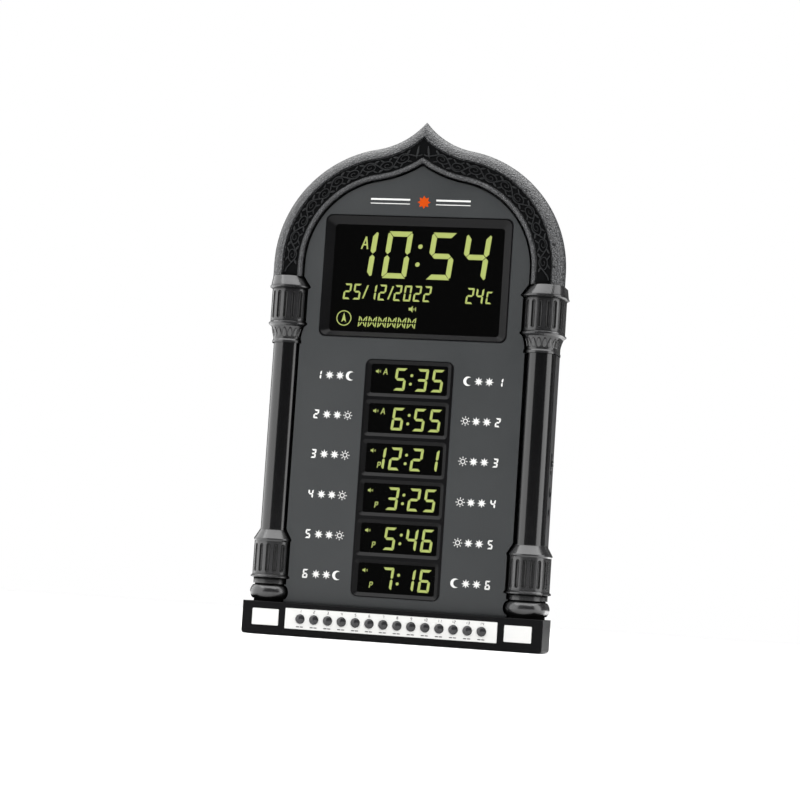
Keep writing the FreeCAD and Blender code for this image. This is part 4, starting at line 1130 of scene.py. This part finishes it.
class ARCHCLOCK_OT_stage(bpy.types.Operator):
    """Sets the floor, the lights, the background and the camera"""
    bl_idname = "arch_clock.stage"
    bl_label = "Stage"

    def execute(self, context):
        stage = settings("stage")
        scene = context.scene
        mesh = bmesh.new()
        half = stage.floor_half
        prism(mesh, [(-half, -half), (half, -half), (half, half), (-half, half)], 0.0, FLOOR_THICKNESS)
        data = to_mesh("Floor", mesh)
        data.transform(Matrix.Rotation(math.radians(90), 4, "X"))
        floor = bpy.data.objects.new("floor", data)
        scene.collection.objects.link(floor)
        floor.location.z = -FLOOR_GAP - max(vertex.co.z for vertex in data.vertices)
        pale = plastic("Floor", (0.86, 0.86, 0.86), 0.6, grain=0.01, depth=0.0, mottle=0.01)
        floor.data.materials.append(pale)
        add_world(scene)
        add_area("Left box", azimuth=-78.0, distance=1.1, height=0.35, size=(2.5, 1.8), power=34.0)
        add_area("Right box", azimuth=86.0, distance=1.1, height=0.3, size=(0.8, 1.8), power=14.0)
        add_area("Top box", azimuth=0.0, distance=0.05, height=1.7, size=(3.0, 3.0), power=118.0)
        add_camera(scene, stage)
        scene.view_settings.view_transform = "Standard"
        return {"FINISHED"}


def add_world(scene):
    """A white background that the camera sees in full and that lights the clock only a little."""
    world = bpy.data.worlds.new("Studio")
    world.use_nodes = True
    tree = world.node_tree
    path = tree.nodes.new("ShaderNodeLightPath")
    strength = map_range(tree, path.outputs["Is Camera Ray"], To_Min=ROOM_LIGHT)
    feed(tree, tree.nodes["Background"], Color=(1.0, 1.0, 1.0), Strength=strength)
    scene.world = world


def add_area(name, azimuth, distance, height, size, power):
    """A softbox that faces the clock, with the azimuth counted like the camera's."""
    data = bpy.data.lights.new(name, "AREA")
    data.shape = "RECTANGLE"
    data.size, data.size_y = size
    data.energy = power
    light = bpy.data.objects.new(name, data)
    turn = math.radians(azimuth)
    light.location = (distance * math.sin(turn), -distance * math.cos(turn), height)
    aim = Vector((0.0, 0.0, min(height, LIGHT_AIM_Z)))
    light.rotation_euler = (aim - light.location).to_track_quat("-Z", "Y").to_euler()
    bpy.context.scene.collection.objects.link(light)


def add_camera(scene, stage):
    data = bpy.data.cameras.new("Camera")
    data.lens = stage.lens
    data.sensor_width = 36.0
    camera = bpy.data.objects.new("Camera", data)
    a, e = stage.azimuth, stage.elevation
    back = Vector((math.sin(a) * math.cos(e), -math.cos(a) * math.cos(e), math.sin(e)))
    right = Vector((math.cos(a), math.sin(a), 0.0))
    up = back.cross(right)
    target = Vector((stage.target_x, PANEL_Y, stage.target_z))
    turn = Matrix((right, up, back)).transposed().to_4x4() @ Matrix.Rotation(stage.roll, 4, "Z")
    camera.matrix_world = Matrix.Translation(target + back * stage.distance) @ turn
    scene.collection.objects.link(camera)
    scene.camera = camera


class ARCHCLOCK_PT_sidebar(bpy.types.Panel):
    bl_idname = "ARCHCLOCK_PT_sidebar"
    bl_label = "Arched digital clock"
    bl_space_type = "VIEW_3D"
    bl_region_type = "UI"
    bl_category = "Arch Clock"

    def draw(self, context):
        for group in GROUPS:
            box = self.layout.box()
            data = getattr(context.scene, "arch_clock_" + group)
            for label in data.bl_rna.properties.keys():
                if label not in {"rna_type", "name"}:
                    box.prop(data, label)
        for operator in OPERATORS:
            self.layout.operator(operator.bl_idname)


GROUPS = {
    "finish": ArchClockFinish,
    "arch": ArchClockArch,
    "display": ArchClockDisplay,
    "stage": ArchClockStage,
}
OPERATORS = (
    ARCHCLOCK_OT_finishes,
    ARCHCLOCK_OT_carving,
    ARCHCLOCK_OT_displays,
    ARCHCLOCK_OT_marks,
    ARCHCLOCK_OT_screws,
    ARCHCLOCK_OT_stage,
)


def register():
    for name, group in GROUPS.items():
        bpy.utils.register_class(group)
        setattr(bpy.types.Scene, "arch_clock_" + name, bpy.props.PointerProperty(type=group))
    for kind in (*OPERATORS, ARCHCLOCK_PT_sidebar):
        bpy.utils.register_class(kind)


def unregister():
    for kind in (ARCHCLOCK_PT_sidebar, *reversed(OPERATORS)):
        bpy.utils.unregister_class(kind)
    for name, group in reversed(list(GROUPS.items())):
        delattr(bpy.types.Scene, "arch_clock_" + name)
        bpy.utils.unregister_class(group)


def main():
    register()
    for operator in OPERATORS:
        family, name = operator.bl_idname.split(".")
        if getattr(getattr(bpy.ops, family), name)() != {"FINISHED"}:
            raise RuntimeError(operator.bl_label + " didn't finish")


if __name__ == "__main__":
    main()
